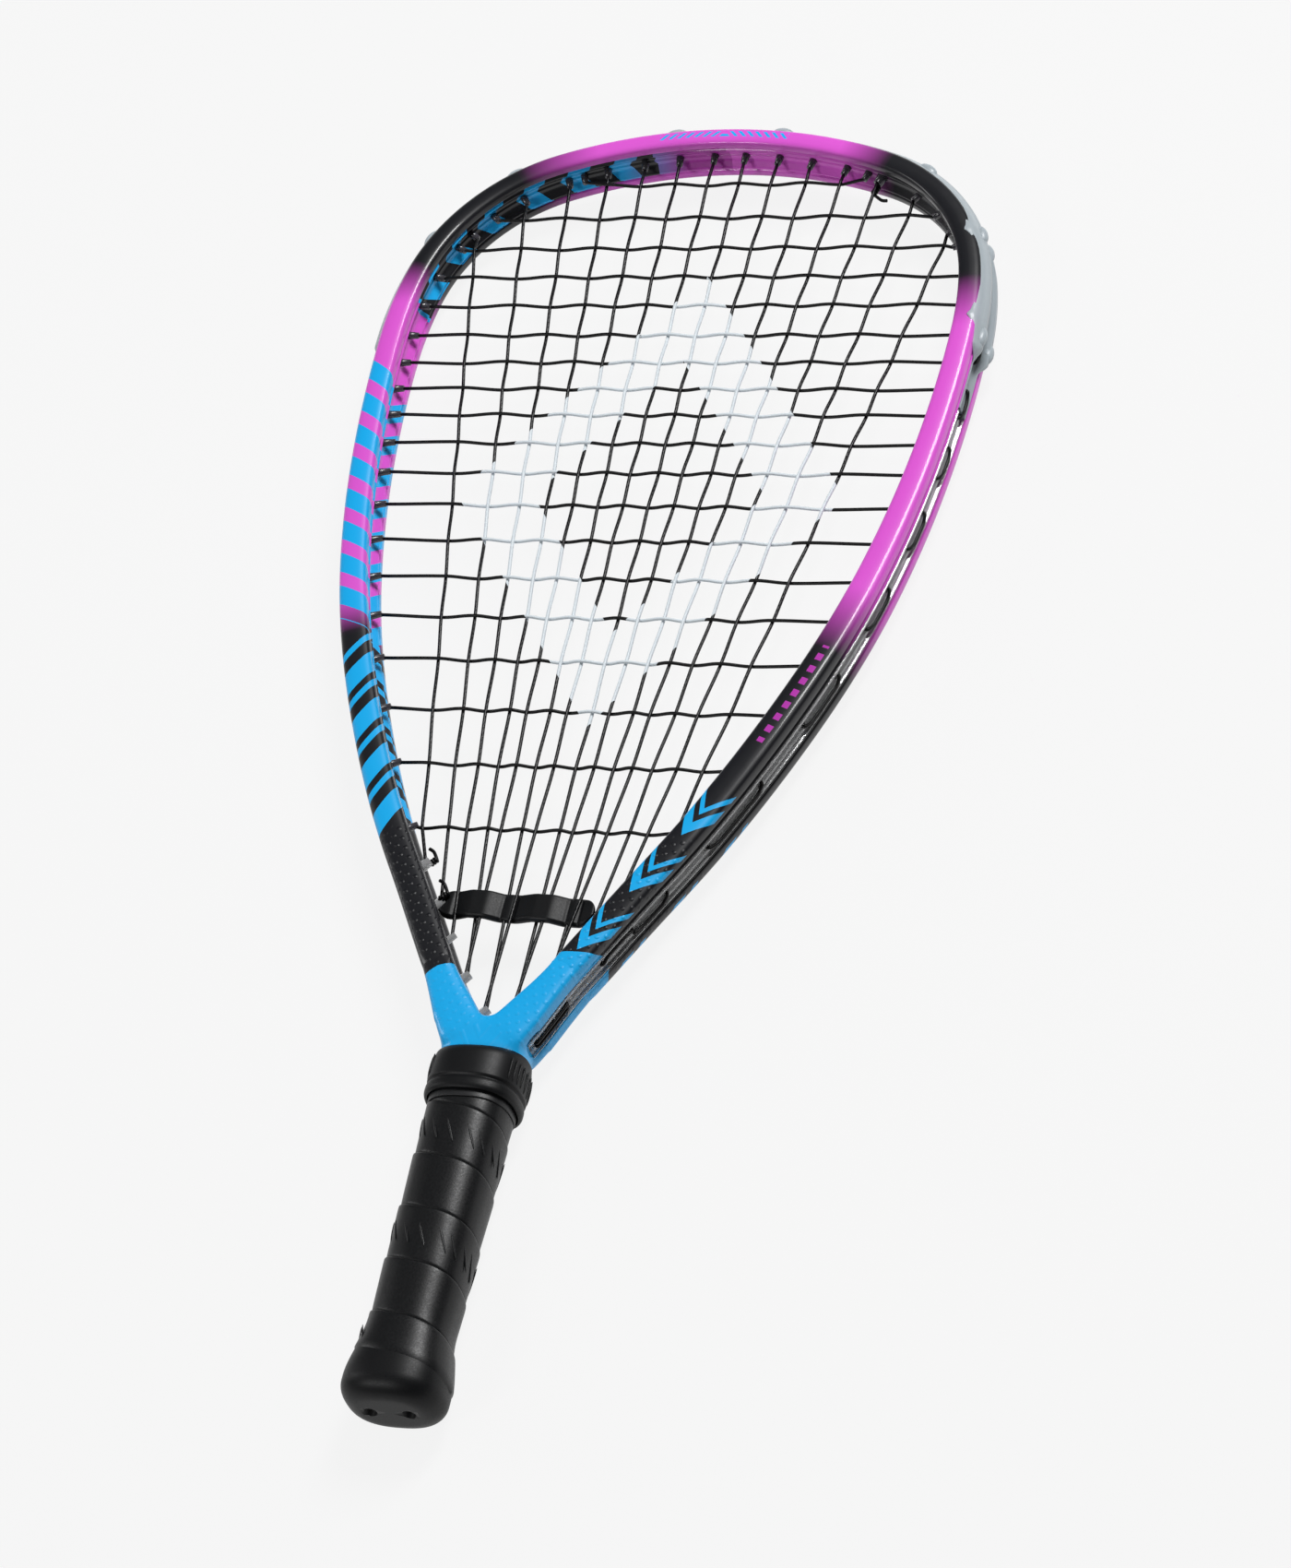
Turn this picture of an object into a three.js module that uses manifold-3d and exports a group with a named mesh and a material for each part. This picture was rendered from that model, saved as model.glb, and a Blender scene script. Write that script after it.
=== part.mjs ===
// Racquetball racket: a moulded hoop, throat and shaft, strung with 14 mains and 19 crosses.
// Millimetres. X runs across the head, Y from the butt to the head, Z out of the front face.
// The origin is the middle of the butt's end face.
import * as THREE from 'three';
import { mergeVertices } from 'three/addons/utils/BufferGeometryUtils.js';
import Module from 'manifold-3d';

const wasm = await Module();
wasm.setup();

// Overall sizes of the racket
const overallLength = 558.8;
const hoopWidth = 238.8;
const throatFoot = 144;
const webRise = 8;
const armSpacing = 13.8;

// Section of the hoop: thickness lies in the plane of the strings, depth across it
const crownThickness = 8.4;
const sideThickness = 11.2;
const armThickness = 13.2;
const footThickness = 17;
const crownDepth = 20.8;
const sideDepth = 22;
const armDepth = 21;
const innerRecess = 2.4;
const edgeRound = 1.9;
const shoulderRound = 4.2;
const channelDepth = 2.6;
const channelHalf = 4.2;
const channelFade = 0.05;

// Clearances
const seatGap = 0.35;
const sleeveGap = 0.4;
const overrun = 2;

// Strings and their holes
const stringDiameter = 1.3;
const weaveGap = 0.4;
const mainCount = 14;
const crossCount = 19;
const bedTopMargin = 12;
const throatClear = 92.7;
const boreClearance = 0.45;
const pairSpacing = 1.8;
const barrelWall = 0.8;
const barrelReach = 0.4;
const mouthClearance = 0.8;
const laneOffset = 1.75;
const laneShift = 3.5;
const loopStep = 11;
const holeSpacing = 6;
const firstCrossShift = 8;
const outerFootShift = 6;
const knotRadius = 1.4;
const knotStart = 2;
const knotLength = 2.6;
const knotTail = 1.2;
const knotGap = 0.4;

// Guard over the head and grommet strips below it
const stripBase = 1.2;
const grooveHalf = 3;
const guardSkin = 2.2;
const guardReach = 7.6;
const guardScallop = 0.7;
const guardEdge = 1.1;
const studHeight = 2.8;
const studHalfLength = 4.2;
const studMargin = 0.2;
const crownDrop = 1.3;
const guardEndDrop = 123;
const stripEndRun = 3;
const stripJoint = 1;

// Handle, from the shaft outwards
const shaftHalfWidth = 10.8;
const shaftHalfDepth = 8.2;
const shoulderHalfWidth = 16.2;
const webFootHalfWidth = 10;
const webHalfWidth = 8;
const shoulderDepthStep = 0.4;
const shaftEnd = 9;
const palletEnd = 6;
const palletSetback = 5.5;
const palletHalfWidth = 12.5;
const palletHalfDepth = 10.6;
const palletSplit = 0.6;
const wrapThickness = 1.3;
const wrapLap = 0.7;
const wrapPitch = 20.6;
const wrapStart = 15;
const wrapTurnShare = 0.52;
const wrapSetback = 14.9;
const tapeThickness = 0.4;
const tapeLength = 8;
const collarSetback = 5.6;
const collarLength = 19.4;
const collarWall = 1;
const collarBead = 0.6;
const collarLip = 1.2;
const collarGroove = 5;
const capFloor = 3;
const capSleeve = 31;
const capWall = 1;
const capHalfWidth = 19.4;
const capHalfDepth = 16.4;
const capBelly = 9;
const capEdge = 4.6;
const tetherHoleRadius = 2.5;
const tetherHoleSpacing = 14;

// Damper: a rubber bar woven through the mains in the throat
const damperRise = 62;
const damperLength = 57;
const damperWidth = 11.4;
const damperThickness = 3.2;
const damperRound = 1;
// Whether the damper passes in front of each main that it meets, from the left
const damperFront = [false, true, true, false, false, true, true, false, false, true];

// The right half of the hoop, seen from the front, is a chain of tangent arcs and a straight arm.
// Radii are shares of the chain's half width, sweeps are shares of a quarter turn.
const arcRadiusShares = [1.646, 0.6356, 1.254, 4.466, 4.005];
const arcSweepShares = [0.2267, 0.6456, 0.13, 0.0889, 0.2533];

// Places of the crosses as shares of the bed's length, from the head down
const crossPlaceShares = [
  0, 0.0551, 0.1052, 0.152, 0.1987, 0.2465, 0.2903, 0.3325, 0.3739, 0.419,
  0.4655, 0.5166, 0.5707, 0.6284, 0.6878, 0.7531, 0.8271, 0.9078, 1,
];
// Places of the mains as shares of the hoop's half width, from the middle out
const mainTopShares = [0.054, 0.1733, 0.2925, 0.4196, 0.5529, 0.7043, 0.8802];
const mainFootShares = [0.0383, 0.0879, 0.155, 0.2037, 0.2708, 0.3378, 0.424];
// Places along the half hoop where its thickness and depth are set
const sectionPlaceShares = [0, 0.17, 0.34, 0.68, 0.93, 1];
// Places of the guard's studs along the half hoop, from the crown
const studPlaceShares = [0.042, 0.167, 0.245, 0.338];
const boreLeanShare = 0.28;
const handleBoxShare = 0.64;
const handleSides = 16;
const stringSides = 4;
const studSides = 8;
const studRings = 3;
const barrelSides = 6;
const halfStations = 30;
const chainSteps = 200;
const lapSteps = 5;
const drillSides = 10;
const measureStep = 1;

// Sizes that follow from those above
const collarTop = throatFoot - collarSetback;
const wrapEnd = collarTop - wrapSetback;
const palletTop = wrapEnd - palletSetback;
const crownOuter = overallLength - studHeight - guardSkin + crownDrop;
const crownCentre = crownOuter - crownThickness / 2;
const hoopHalf = (hoopWidth - sideThickness) / 2;
const bedTop = crownOuter - crownThickness - bedTopMargin;
const bedLength = bedTop - throatClear - throatFoot;
const stringRadius = stringDiameter / 2;
const weaveHeight = (stringDiameter + weaveGap) / 2;
const loopHeight = seatGap + stripBase + seatGap + stringRadius - channelDepth;

const clamp = THREE.MathUtils.clamp;
const lerp = THREE.MathUtils.lerp;

// Chain of arcs in units of its half width: crown at the origin, heading +X, turning clockwise
function arcChain() {
  const arcs = [];
  let start = new THREE.Vector2(0, 0);
  let heading = 0;
  let length = 0;
  arcRadiusShares.forEach((radius, index) => {
    const sweep = arcSweepShares[index] * Math.PI / 2;
    const toCentre = new THREE.Vector2(-Math.sin(heading), -Math.cos(heading));
    const centre = start.clone().addScaledVector(toCentre, radius);
    arcs.push({ centre, radius, heading, from: length, to: length + radius * sweep });
    heading += sweep;
    length += radius * sweep;
    start = new THREE.Vector2(
      centre.x + radius * Math.sin(heading),
      centre.y + radius * Math.cos(heading),
    );
  });
  return { arcs, start, heading, length };
}

const chain = arcChain();
const footShare = armSpacing / 2 / hoopHalf;
const armRunShare = (chain.start.x - footShare) / -Math.cos(chain.heading);
const chainLengthShare = chain.length + armRunShare;

function chainPoint(share) {
  const run = share * chainLengthShare;
  const arc = chain.arcs.find(({ to }) => run <= to);
  if (arc === undefined) {
    const rest = run - chain.length;
    return new THREE.Vector2(
      chain.start.x + rest * Math.cos(chain.heading),
      chain.start.y - rest * Math.sin(chain.heading),
    );
  }
  const angle = arc.heading + (run - arc.from) / arc.radius;
  return new THREE.Vector2(
    arc.centre.x + arc.radius * Math.sin(angle),
    arc.centre.y + arc.radius * Math.cos(angle),
  );
}

const chainSamples = Array.from({ length: chainSteps + 1 }, (_, index) => (
  chainPoint(index / chainSteps)
));
const chainWidthShare = Math.max(...chainSamples.map(({ x }) => x));
const chainDropShare = -chainPoint(1).y;

// Centre line of the hoop. place runs from -1 at the left foot, over 0 at the crown, to 1.
function hoopCentre(place) {
  const { x, y } = chainPoint(Math.abs(place));
  return new THREE.Vector3(
    Math.sign(place) * x * hoopHalf / chainWidthShare,
    crownCentre + y * (crownCentre - throatFoot) / chainDropShare,
    0,
  );
}

function hoopFrame(place) {
  const step = 1e-4;
  const before = hoopCentre(Math.max(place - step, -1));
  const after = hoopCentre(Math.min(place + step, 1));
  const span = Math.min(place + step, 1) - Math.max(place - step, -1);
  const tangent = after.clone().sub(before);
  const speed = tangent.length() / span;
  tangent.normalize();
  const outward = new THREE.Vector3(-tangent.y, tangent.x, 0);
  return { centre: hoopCentre(place), tangent, outward, speed };
}

function blended(values, place) {
  const run = Math.abs(place);
  const next = sectionPlaceShares.findIndex((share) => run <= share);
  if (next <= 0) return values[Math.max(next, 0)];
  const low = sectionPlaceShares[next - 1];
  const high = sectionPlaceShares[next];
  return lerp(values[next - 1], values[next], THREE.MathUtils.smoothstep(run, low, high));
}

const thicknessAt = (place) => blended(
  [crownThickness, crownThickness, sideThickness, armThickness, armThickness, footThickness],
  place,
);
const depthAt = (place) => blended(
  [crownDepth, crownDepth, sideDepth, sideDepth, armDepth, armDepth],
  place,
);

// A point by its place along the hoop, its height over the outer wall and its z
function overWall(place, height, z) {
  const { centre, outward } = hoopFrame(place);
  const point = centre.addScaledVector(outward, thicknessAt(place) / 2 + height);
  return point.setZ(z);
}

// Inner side of the hoop at the tips of the barrels
function tipPoint(place) {
  return overWall(place, -thicknessAt(place) - barrelReach, 0);
}

function solve(measure, low, high) {
  const rising = measure(high) > measure(low);
  for (let step = 0; step < 50; step++) {
    const middle = (low + high) / 2;
    if ((measure(middle) > 0) === rising) high = middle;
    else low = middle;
  }
  return (low + high) / 2;
}

const sidePlace = solve((place) => hoopFrame(place).tangent.x, 0.01, 0.99);
const placeAtHeight = (y) => solve((place) => hoopCentre(place).y - y, 0, 1);

// Meshes and solids
function geometryOf(points, faces) {
  const geometry = new THREE.BufferGeometry();
  let volume = 0;
  for (const [a, b, c] of faces) {
    volume += points[a].dot(points[b].clone().cross(points[c]));
  }
  const turned = volume < 0 ? faces.map(([a, b, c]) => [a, c, b]) : faces;
  geometry.setAttribute('position', new THREE.Float32BufferAttribute(
    points.flatMap(({ x, y, z }) => [x, y, z]),
    3,
  ));
  geometry.setIndex(turned.flat());
  return geometry;
}

function capFaces(section) {
  const around = THREE.ShapeUtils.area(section);
  return THREE.ShapeUtils.triangulateShape(section, []).map(([a, b, c]) => {
    const area = THREE.ShapeUtils.area([section[a], section[b], section[c]]);
    return area * around > 0 ? [a, b, c] : [a, c, b];
  });
}

// Skin over sections of equal counts. Each station has a 2-D section and a way to place it.
function loft(stations, closed = false) {
  const count = stations[0].section.length;
  const points = stations.flatMap(({ section, put }) => section.map(put));
  const faces = [];
  const spans = closed ? stations.length : stations.length - 1;
  for (let index = 0; index < spans; index++) {
    const row = index * count;
    const next = ((index + 1) % stations.length) * count;
    for (let side = 0; side < count; side++) {
      const other = (side + 1) % count;
      faces.push([row + side, row + other, next + other]);
      faces.push([row + side, next + other, next + side]);
    }
  }
  if (!closed) {
    const last = (stations.length - 1) * count;
    capFaces(stations[0].section).forEach(([a, b, c]) => faces.push([a, c, b]));
    capFaces(stations.at(-1).section).forEach(([a, b, c]) => {
      faces.push([last + a, last + b, last + c]);
    });
  }
  return geometryOf(points, faces);
}

function solidOf(geometry) {
  const bare = geometry.clone();
  bare.deleteAttribute('normal');
  bare.deleteAttribute('uv');
  const merged = mergeVertices(bare);
  return new wasm.Manifold(new wasm.Mesh({
    numProp: 3,
    vertProperties: new Float32Array(merged.attributes.position.array),
    triVerts: new Uint32Array(merged.index.array),
  }));
}

function meshOf(name, shape, material) {
  let geometry = shape;
  if (!(shape instanceof THREE.BufferGeometry)) {
    const { vertProperties, triVerts } = shape.getMesh();
    geometry = new THREE.BufferGeometry();
    geometry.setAttribute('position', new THREE.BufferAttribute(vertProperties, 3));
    geometry.setIndex(new THREE.BufferAttribute(triVerts, 1));
  }
  geometry.computeVertexNormals();
  const mesh = new THREE.Mesh(geometry, new THREE.MeshStandardMaterial(material));
  mesh.name = name;
  return mesh;
}

const mirroredPairs = (points) => [
  ...points.map(([u, v]) => new THREE.Vector2(u, v)),
  ...points.toReversed().map(([u, v]) => new THREE.Vector2(u, -v)),
];

// String bed: where each string's line meets the barrel tips, and its hole there
const crossHeight = (cross) => bedTop - crossPlaceShares[cross] * bedLength;

function mainX(main, y) {
  const side = main < mainCount / 2 ? -1 : 1;
  const order = side > 0 ? main - mainCount / 2 : mainCount / 2 - 1 - main;
  const down = (bedTop - y) / bedLength;
  return side * hoopHalf * lerp(mainTopShares[order], mainFootShares[order], down);
}

const mainDirection = (main) => new THREE.Vector3(
  mainX(main, bedTop) - mainX(main, bedTop - bedLength),
  bedLength,
  0,
).normalize();

// A hole through the hoop: square to its wall, or leaning towards the string that it takes
function hole(place, spread, lean, direction) {
  const { outward } = hoopFrame(place);
  const axis = outward.multiplyScalar(1 - lean).addScaledVector(direction, lean).normalize();
  const bore = (stringRadius + boreClearance + spread / 2) / Math.cos(Math.PI / barrelSides);
  return { place, tip: tipPoint(place), axis, bore, spread };
}

// Where the hole's axis reaches a height over the outer wall
function exitOf({ place, tip, axis }, height) {
  let at = place;
  for (let step = 0; step < 12; step++) {
    const { tangent, outward, speed } = hoopFrame(at);
    const target = overWall(at, height, 0);
    const run = target.clone().sub(tip).dot(outward) / axis.dot(outward);
    const reached = tip.clone().addScaledVector(axis, run);
    at += reached.sub(target).dot(tangent) / speed;
  }
  return { place: at, point: overWall(at, height, 0) };
}

// Place of the right half of the hoop where a string's line meets the barrel tips
function mainPlace(main, low, high) {
  return solve((place) => {
    const tip = tipPoint(place);
    return tip.x - mainX(main, tip.y);
  }, low, high);
}

const middle = mainCount / 2;
const outerMain = mainCount - 1;
const shared = [[middle, middle + 1], [middle + 2, middle + 3]];
const crownTieMain = outerMain - 2;
const footTieMain = outerMain - 1;
const tiedMains = { top: [crownTieMain], foot: [0, outerMain - footTieMain, footTieMain] };

// The four mains on each side of the middle share two feet
const wanted = [];
for (let main = middle; main < mainCount; main++) {
  wanted.push({ main, end: 'top', lean: 0, place: mainPlace(main, 0, sidePlace) });
  const pair = shared.find((both) => both.includes(main));
  if (pair && pair[0] !== main) continue;
  const places = (pair ?? [main]).map((one) => mainPlace(one, sidePlace, 1));
  let place = places.reduce((sum, one) => sum + one) / places.length;
  if (main === outerMain) place += outerFootShift / hoopFrame(place).speed;
  wanted.push({ main, end: 'foot', lean: boreLeanShare, place });
}
for (let cross = 0; cross < crossCount; cross++) {
  let place = solve((at) => tipPoint(at).y - crossHeight(cross), 0, 1);
  if (cross === 0) place -= firstCrossShift / hoopFrame(place).speed;
  wanted.push({ cross, lean: 0, place });
}
wanted.sort((one, other) => one.place - other.place);

// Neighbouring holes are pushed apart until their barrels have room
for (let round = 0; round < wanted.length; round++) {
  for (let index = 1; index < wanted.length; index++) {
    const [before, after] = [wanted[index - 1], wanted[index]];
    const least = holeSpacing / hoopFrame(after.place).speed;
    const lack = Math.max(0, least - (after.place - before.place)) / 2;
    before.place -= lack;
    after.place += lack;
  }
}

const mains = Array.from({ length: mainCount }, () => ({}));
const crosses = Array.from({ length: crossCount }, () => ({}));
const holes = [];
for (const { main, end, cross, lean, place } of wanted) {
  const pair = end === 'foot' && shared.find((both) => both.includes(main));
  for (const side of [-1, 1]) {
    const number = side > 0 ? main : outerMain - main;
    const spread = pair || tiedMains[end]?.includes(number) ? pairSpacing : 0;
    const away = main === undefined
      ? new THREE.Vector3(side, 0, 0)
      : mainDirection(number).multiplyScalar(end === 'top' ? 1 : -1);
    const one = hole(side * place, spread, lean, away);
    holes.push(one);
    if (main === undefined) {
      crosses[cross][side > 0 ? 'right' : 'left'] = one;
      continue;
    }
    mains[number][end] = one;
    if (pair) mains[side > 0 ? pair[1] : outerMain - pair[1]].foot = one;
  }
}

// Paths of the strings
function meets(main, cross) {
  const y = crossHeight(cross);
  const x = mainX(main, y);
  const inHeight = y < mains[main].top.tip.y && y > mains[main].foot.tip.y;
  return inHeight && Math.abs(x) < crosses[cross].right.tip.x - stringDiameter;
}

const overUnder = (main, cross) => ((main + cross) % 2 === 0 ? weaveHeight : -weaveHeight);
const crossesOf = (main) => crosses.map((_, cross) => cross).filter((cross) => meets(main, cross));
const mouthOf = ({ tip, axis }, z) => tip.clone().addScaledVector(axis, -mouthClearance).setZ(z);

// Height of a main in its hole: off the middle where the hole holds two strings
function liftOf(main, end) {
  const alone = mains[main][end].spread === 0;
  const nearest = end === 'top' ? crossesOf(main).at(0) : crossesOf(main).at(-1);
  return alone ? 0 : Math.sign(overUnder(main, nearest)) * pairSpacing / 2;
}

function mainRun(main) {
  const { top, foot } = mains[main];
  const points = [mouthOf(top, liftOf(main, 'top'))];
  for (const cross of crossesOf(main)) {
    const y = crossHeight(cross);
    points.push(new THREE.Vector3(mainX(main, y), y, overUnder(main, cross)));
  }
  points.push(mouthOf(foot, liftOf(main, 'foot')));
  return points;
}

function crossRun(cross) {
  const { left, right } = crosses[cross];
  const points = [mouthOf(left, 0)];
  for (let main = 0; main < mainCount; main++) {
    if (!meets(main, cross)) continue;
    const y = crossHeight(cross);
    points.push(new THREE.Vector3(mainX(main, y), y, -overUnder(main, cross)));
  }
  points.push(mouthOf(right, 0));
  return points;
}

// The string leaves one hole, runs along its lane over the strip and enters the next
function outerLoop(from, to, startZ, endZ, lane) {
  const start = exitOf(from, loopHeight).place;
  const end = exitOf(to, loopHeight).place;
  const way = Math.sign(end - start);
  const speed = hoopFrame((start + end) / 2).speed;
  const length = Math.abs(end - start) * speed;
  const shift = Math.min(laneShift, length / 3);
  const points = [overWall(start, loopHeight, startZ)];
  const inner = length - 2 * shift;
  const steps = Math.max(1, Math.ceil(inner / loopStep));
  for (let step = 0; step <= steps; step++) {
    const run = shift + inner * step / steps;
    points.push(overWall(start + way * run / speed, loopHeight, lane));
  }
  points.push(overWall(end, loopHeight, endZ));
  return points;
}

// The end comes back in beside a main and swells into its knot, clear of that main
function knotEnd(tie, side) {
  const apart = knotRadius + stringRadius + knotGap - pairSpacing / 2;
  const inwards = (run, z) => tie.tip.clone().addScaledVector(tie.axis, -run).setZ(side * z);
  return [
    { at: inwards(mouthClearance, pairSpacing / 2), radius: stringRadius },
    { at: inwards(knotStart, apart), radius: knotRadius },
    { at: inwards(knotStart + knotLength, apart), radius: knotRadius },
    { at: inwards(knotStart + knotLength + knotTail, apart), radius: stringRadius },
  ];
}

const plain = (points) => points.map((at) => ({ at, radius: stringRadius }));

// From a hole to the hole of the main that its end is tied to, and back inside to the knot
function tiedEnd(from, startZ, main, end, lane) {
  const tie = mains[main][end];
  const side = -Math.sign(liftOf(main, end));
  const loop = outerLoop(from, tie, startZ, side * pairSpacing / 2, lane);
  return [...plain(loop), ...knotEnd(tie, side)];
}

// Lane of a main's loop round the throat, on the side of the string in its hole
function footLane(startZ, endZ) {
  return startZ === endZ ? startZ : Math.sign(startZ + endZ) * laneOffset;
}

function mainPath() {
  const half = [middle, middle + 2, middle + 1, middle + 3, middle + 4, middle + 5, outerMain];
  const order = [...half.map((main) => outerMain - main).toReversed(), ...half];
  const endOf = (main, tieMain) => {
    const lift = liftOf(main, 'foot');
    const lane = footLane(lift, -liftOf(tieMain, 'foot'));
    return tiedEnd(mains[main].foot, lift, tieMain, 'foot', lane);
  };
  const path = endOf(0, outerMain - footTieMain).toReversed();
  order.forEach((main, index) => {
    const rising = index % 2 === 0;
    const points = mainRun(main);
    path.push(...plain(rising ? points.toReversed() : points));
    if (index + 1 === order.length) return;
    const next = order[index + 1];
    const end = rising ? 'top' : 'foot';
    const [startZ, endZ] = [main, next].map((one) => liftOf(one, end));
    const lane = rising ? laneOffset : footLane(startZ, endZ);
    path.push(...plain(outerLoop(mains[main][end], mains[next][end], startZ, endZ, lane)));
  });
  path.push(...endOf(outerMain, footTieMain));
  return path;
}

function crossPath() {
  const path = tiedEnd(crosses[0].right, 0, crownTieMain, 'top', -laneOffset).toReversed();
  for (let cross = 0; cross < crossCount; cross++) {
    const leftwards = cross % 2 === 0;
    const points = crossRun(cross);
    path.push(...plain(leftwards ? points.toReversed() : points));
    if (cross + 1 === crossCount) break;
    const side = leftwards ? 'left' : 'right';
    const [from, to] = [crosses[cross][side], crosses[cross + 1][side]];
    path.push(...plain(outerLoop(from, to, 0, 0, -laneOffset)));
  }
  path.push(...tiedEnd(crosses.at(-1).left, 0, 0, 'foot', -laneOffset));
  return path;
}

const unitRing = (sides) => Array.from({ length: sides }, (_, side) => {
  const angle = 2 * Math.PI * side / sides;
  return new THREE.Vector2(Math.cos(angle), Math.sin(angle));
});

// Tube over a path, mitred where the path bends
function tube(path) {
  const ring = unitRing(stringSides);
  const stations = path.map(({ at, radius }, index) => {
    const before = path[Math.max(index - 1, 0)].at;
    const after = path[Math.min(index + 1, path.length - 1)].at;
    const arriving = (index > 0 ? at.clone().sub(before) : after.clone().sub(at)).normalize();
    const leaving = (after.equals(at) ? arriving.clone() : after.clone().sub(at)).normalize();
    const along = arriving.clone().add(leaving).normalize();
    const up = new THREE.Vector3(0, 0, 1).addScaledVector(along, -along.z).normalize();
    const across = up.clone().cross(along);
    const mitre = 1 / along.dot(arriving);
    return {
      section: ring,
      put: ({ x, y }) => at.clone()
        .addScaledVector(across, x * radius * mitre)
        .addScaledVector(up, y * radius),
    };
  });
  return loft(stations);
}

// Least gap of a string to itself, measured on points along its path
function leastGap(path) {
  const marks = [];
  let run = 0;
  for (let index = 1; index < path.length; index++) {
    const from = path[index - 1].at;
    const to = path[index].at;
    const length = from.distanceTo(to);
    const steps = Math.ceil(length / measureStep);
    for (let step = 0; step < steps; step++) {
      marks.push({ at: from.clone().lerp(to, step / steps), run: run + length * step / steps });
    }
    run += length;
  }
  let least = Infinity;
  const apart = loopStep + knotLength;
  for (let one = 0; one < marks.length; one++) {
    for (let other = one + 1; other < marks.length; other++) {
      if (marks[other].run - marks[one].run < apart) continue;
      least = Math.min(least, marks[one].at.distanceTo(marks[other].at) - stringDiameter);
    }
  }
  return { least, length: run };
}

// Hexagonal prism along a hole's axis, between two heights over the outer wall
function prism({ tip, axis }, radius, from, to) {
  const geometry = new THREE.CylinderGeometry(radius, radius, to - from, barrelSides);
  const turn = new THREE.Quaternion().setFromUnitVectors(new THREE.Vector3(0, 1, 0), axis);
  const centre = tip.clone().addScaledVector(axis, (from + to) / 2);
  geometry.applyQuaternion(turn);
  geometry.translate(centre.x, centre.y, centre.z);
  return solidOf(geometry);
}

const runTo = (one, height) => exitOf(one, height).point.distanceTo(one.tip);
const union = (parts) => parts.reduce((whole, one) => whole.add(one));
const difference = (whole, parts) => parts.reduce((rest, one) => rest.subtract(one), whole);

// Frame: hoop and arms in one sweep, joined at the foot by the shaft
const lastExit = exitOf(mains[middle].foot, 0).place;
const stripEndPlace = Math.min(lastExit + stripEndRun / hoopFrame(lastExit).speed, 1);
const channelEndPlace = (1 + stripEndPlace) / 2;
const guardEndPlace = placeAtHeight(crownOuter - guardEndDrop);
const stationMargin = 1 / halfStations / 4;

function hoopSection(place) {
  const half = thicknessAt(place) / 2;
  const deep = depthAt(place) / 2;
  const fade = 1 - THREE.MathUtils.smoothstep(Math.abs(place), stripEndPlace, channelEndPlace);
  const floor = Math.max(channelDepth * fade, channelFade);
  return mirroredPairs([
    [innerRecess - half, channelHalf - innerRecess],
    [-half, deep - shoulderRound],
    [edgeRound - half, deep - edgeRound],
    [0, deep],
    [half - edgeRound, deep - edgeRound],
    [half, deep - shoulderRound],
    [half, channelHalf],
    [half - floor, channelHalf],
  ]);
}

function hoopStation(place, section) {
  const { centre, outward } = hoopFrame(place);
  return {
    section,
    put: ({ x, y }) => centre.clone().addScaledVector(outward, x).setZ(y),
  };
}

function hoopHalfSolid(side) {
  const places = Array.from({ length: halfStations }, (_, station) => station / halfStations)
    .filter((place) => place < stripEndPlace - stationMargin);
  places.push(stripEndPlace, channelEndPlace, 1);
  return solidOf(loft(places.map((place) => (
    hoopStation(side * place, hoopSection(side * place))
  ))));
}

const boxyRing = unitRing(handleSides).map((_, side) => {
  const angle = (side + 1 / 2) * 2 * Math.PI / handleSides;
  const shaped = (value) => Math.sign(value) * Math.abs(value) ** handleBoxShare;
  return new THREE.Vector2(shaped(Math.cos(angle)), shaped(Math.sin(angle)));
});

// Section of the handle at a height over the butt
function handleStation(y, halfWidth, halfDepth) {
  return {
    section: boxyRing.map(({ x, y: z }) => new THREE.Vector2(x * halfWidth, z * halfDepth)),
    put: ({ x, y: z }) => new THREE.Vector3(x, y, z),
  };
}

const shoulderHalfDepth = armDepth / 2 - shoulderDepthStep;

function shaftSolid() {
  const shoulderStart = palletTop + overrun;
  const shoulderFull = (shoulderStart + throatFoot) / 2;
  return solidOf(loft([
    handleStation(shaftEnd, shaftHalfWidth, shaftHalfDepth),
    handleStation(shoulderStart, shaftHalfWidth, shaftHalfDepth),
    handleStation(shoulderFull, shoulderHalfWidth, shoulderHalfDepth),
    handleStation(collarTop + seatGap, shoulderHalfWidth, shoulderHalfDepth),
    handleStation(throatFoot - seatGap, webFootHalfWidth, shoulderHalfDepth),
    handleStation(throatFoot + webRise, webHalfWidth, shoulderHalfDepth),
  ]));
}

const holeRadius = ({ bore }) => bore + barrelWall + seatGap / Math.cos(Math.PI / barrelSides);

function frameSolid() {
  const whole = union([hoopHalfSolid(1), hoopHalfSolid(-1), shaftSolid()]);
  return difference(whole, holes.map((one) => prism(
    one,
    holeRadius(one),
    0,
    runTo(one, seatGap),
  )));
}

// Guard and strips: a base in the channel, with a barrel round each string hole
function stripSection() {
  const floor = seatGap - channelDepth;
  const leg = channelHalf - seatGap;
  return mirroredPairs([
    [floor, leg],
    [-seatGap, leg],
    [-seatGap, (leg + grooveHalf) / 2],
    [floor + stripBase, grooveHalf],
  ]);
}

function guardSection(place) {
  const floor = seatGap - channelDepth;
  const leg = channelHalf - seatGap;
  const wave = Math.cos(Math.PI * 2 * place / (guardEndPlace / 4));
  const reach = guardReach - guardScallop * (1 - wave) / 2;
  return mirroredPairs([
    [floor, leg],
    [seatGap, leg],
    [seatGap, reach],
    [seatGap + guardEdge, reach + seatGap],
    [guardSkin, (leg + grooveHalf) / 2],
    [floor + stripBase, grooveHalf],
  ]);
}

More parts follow.
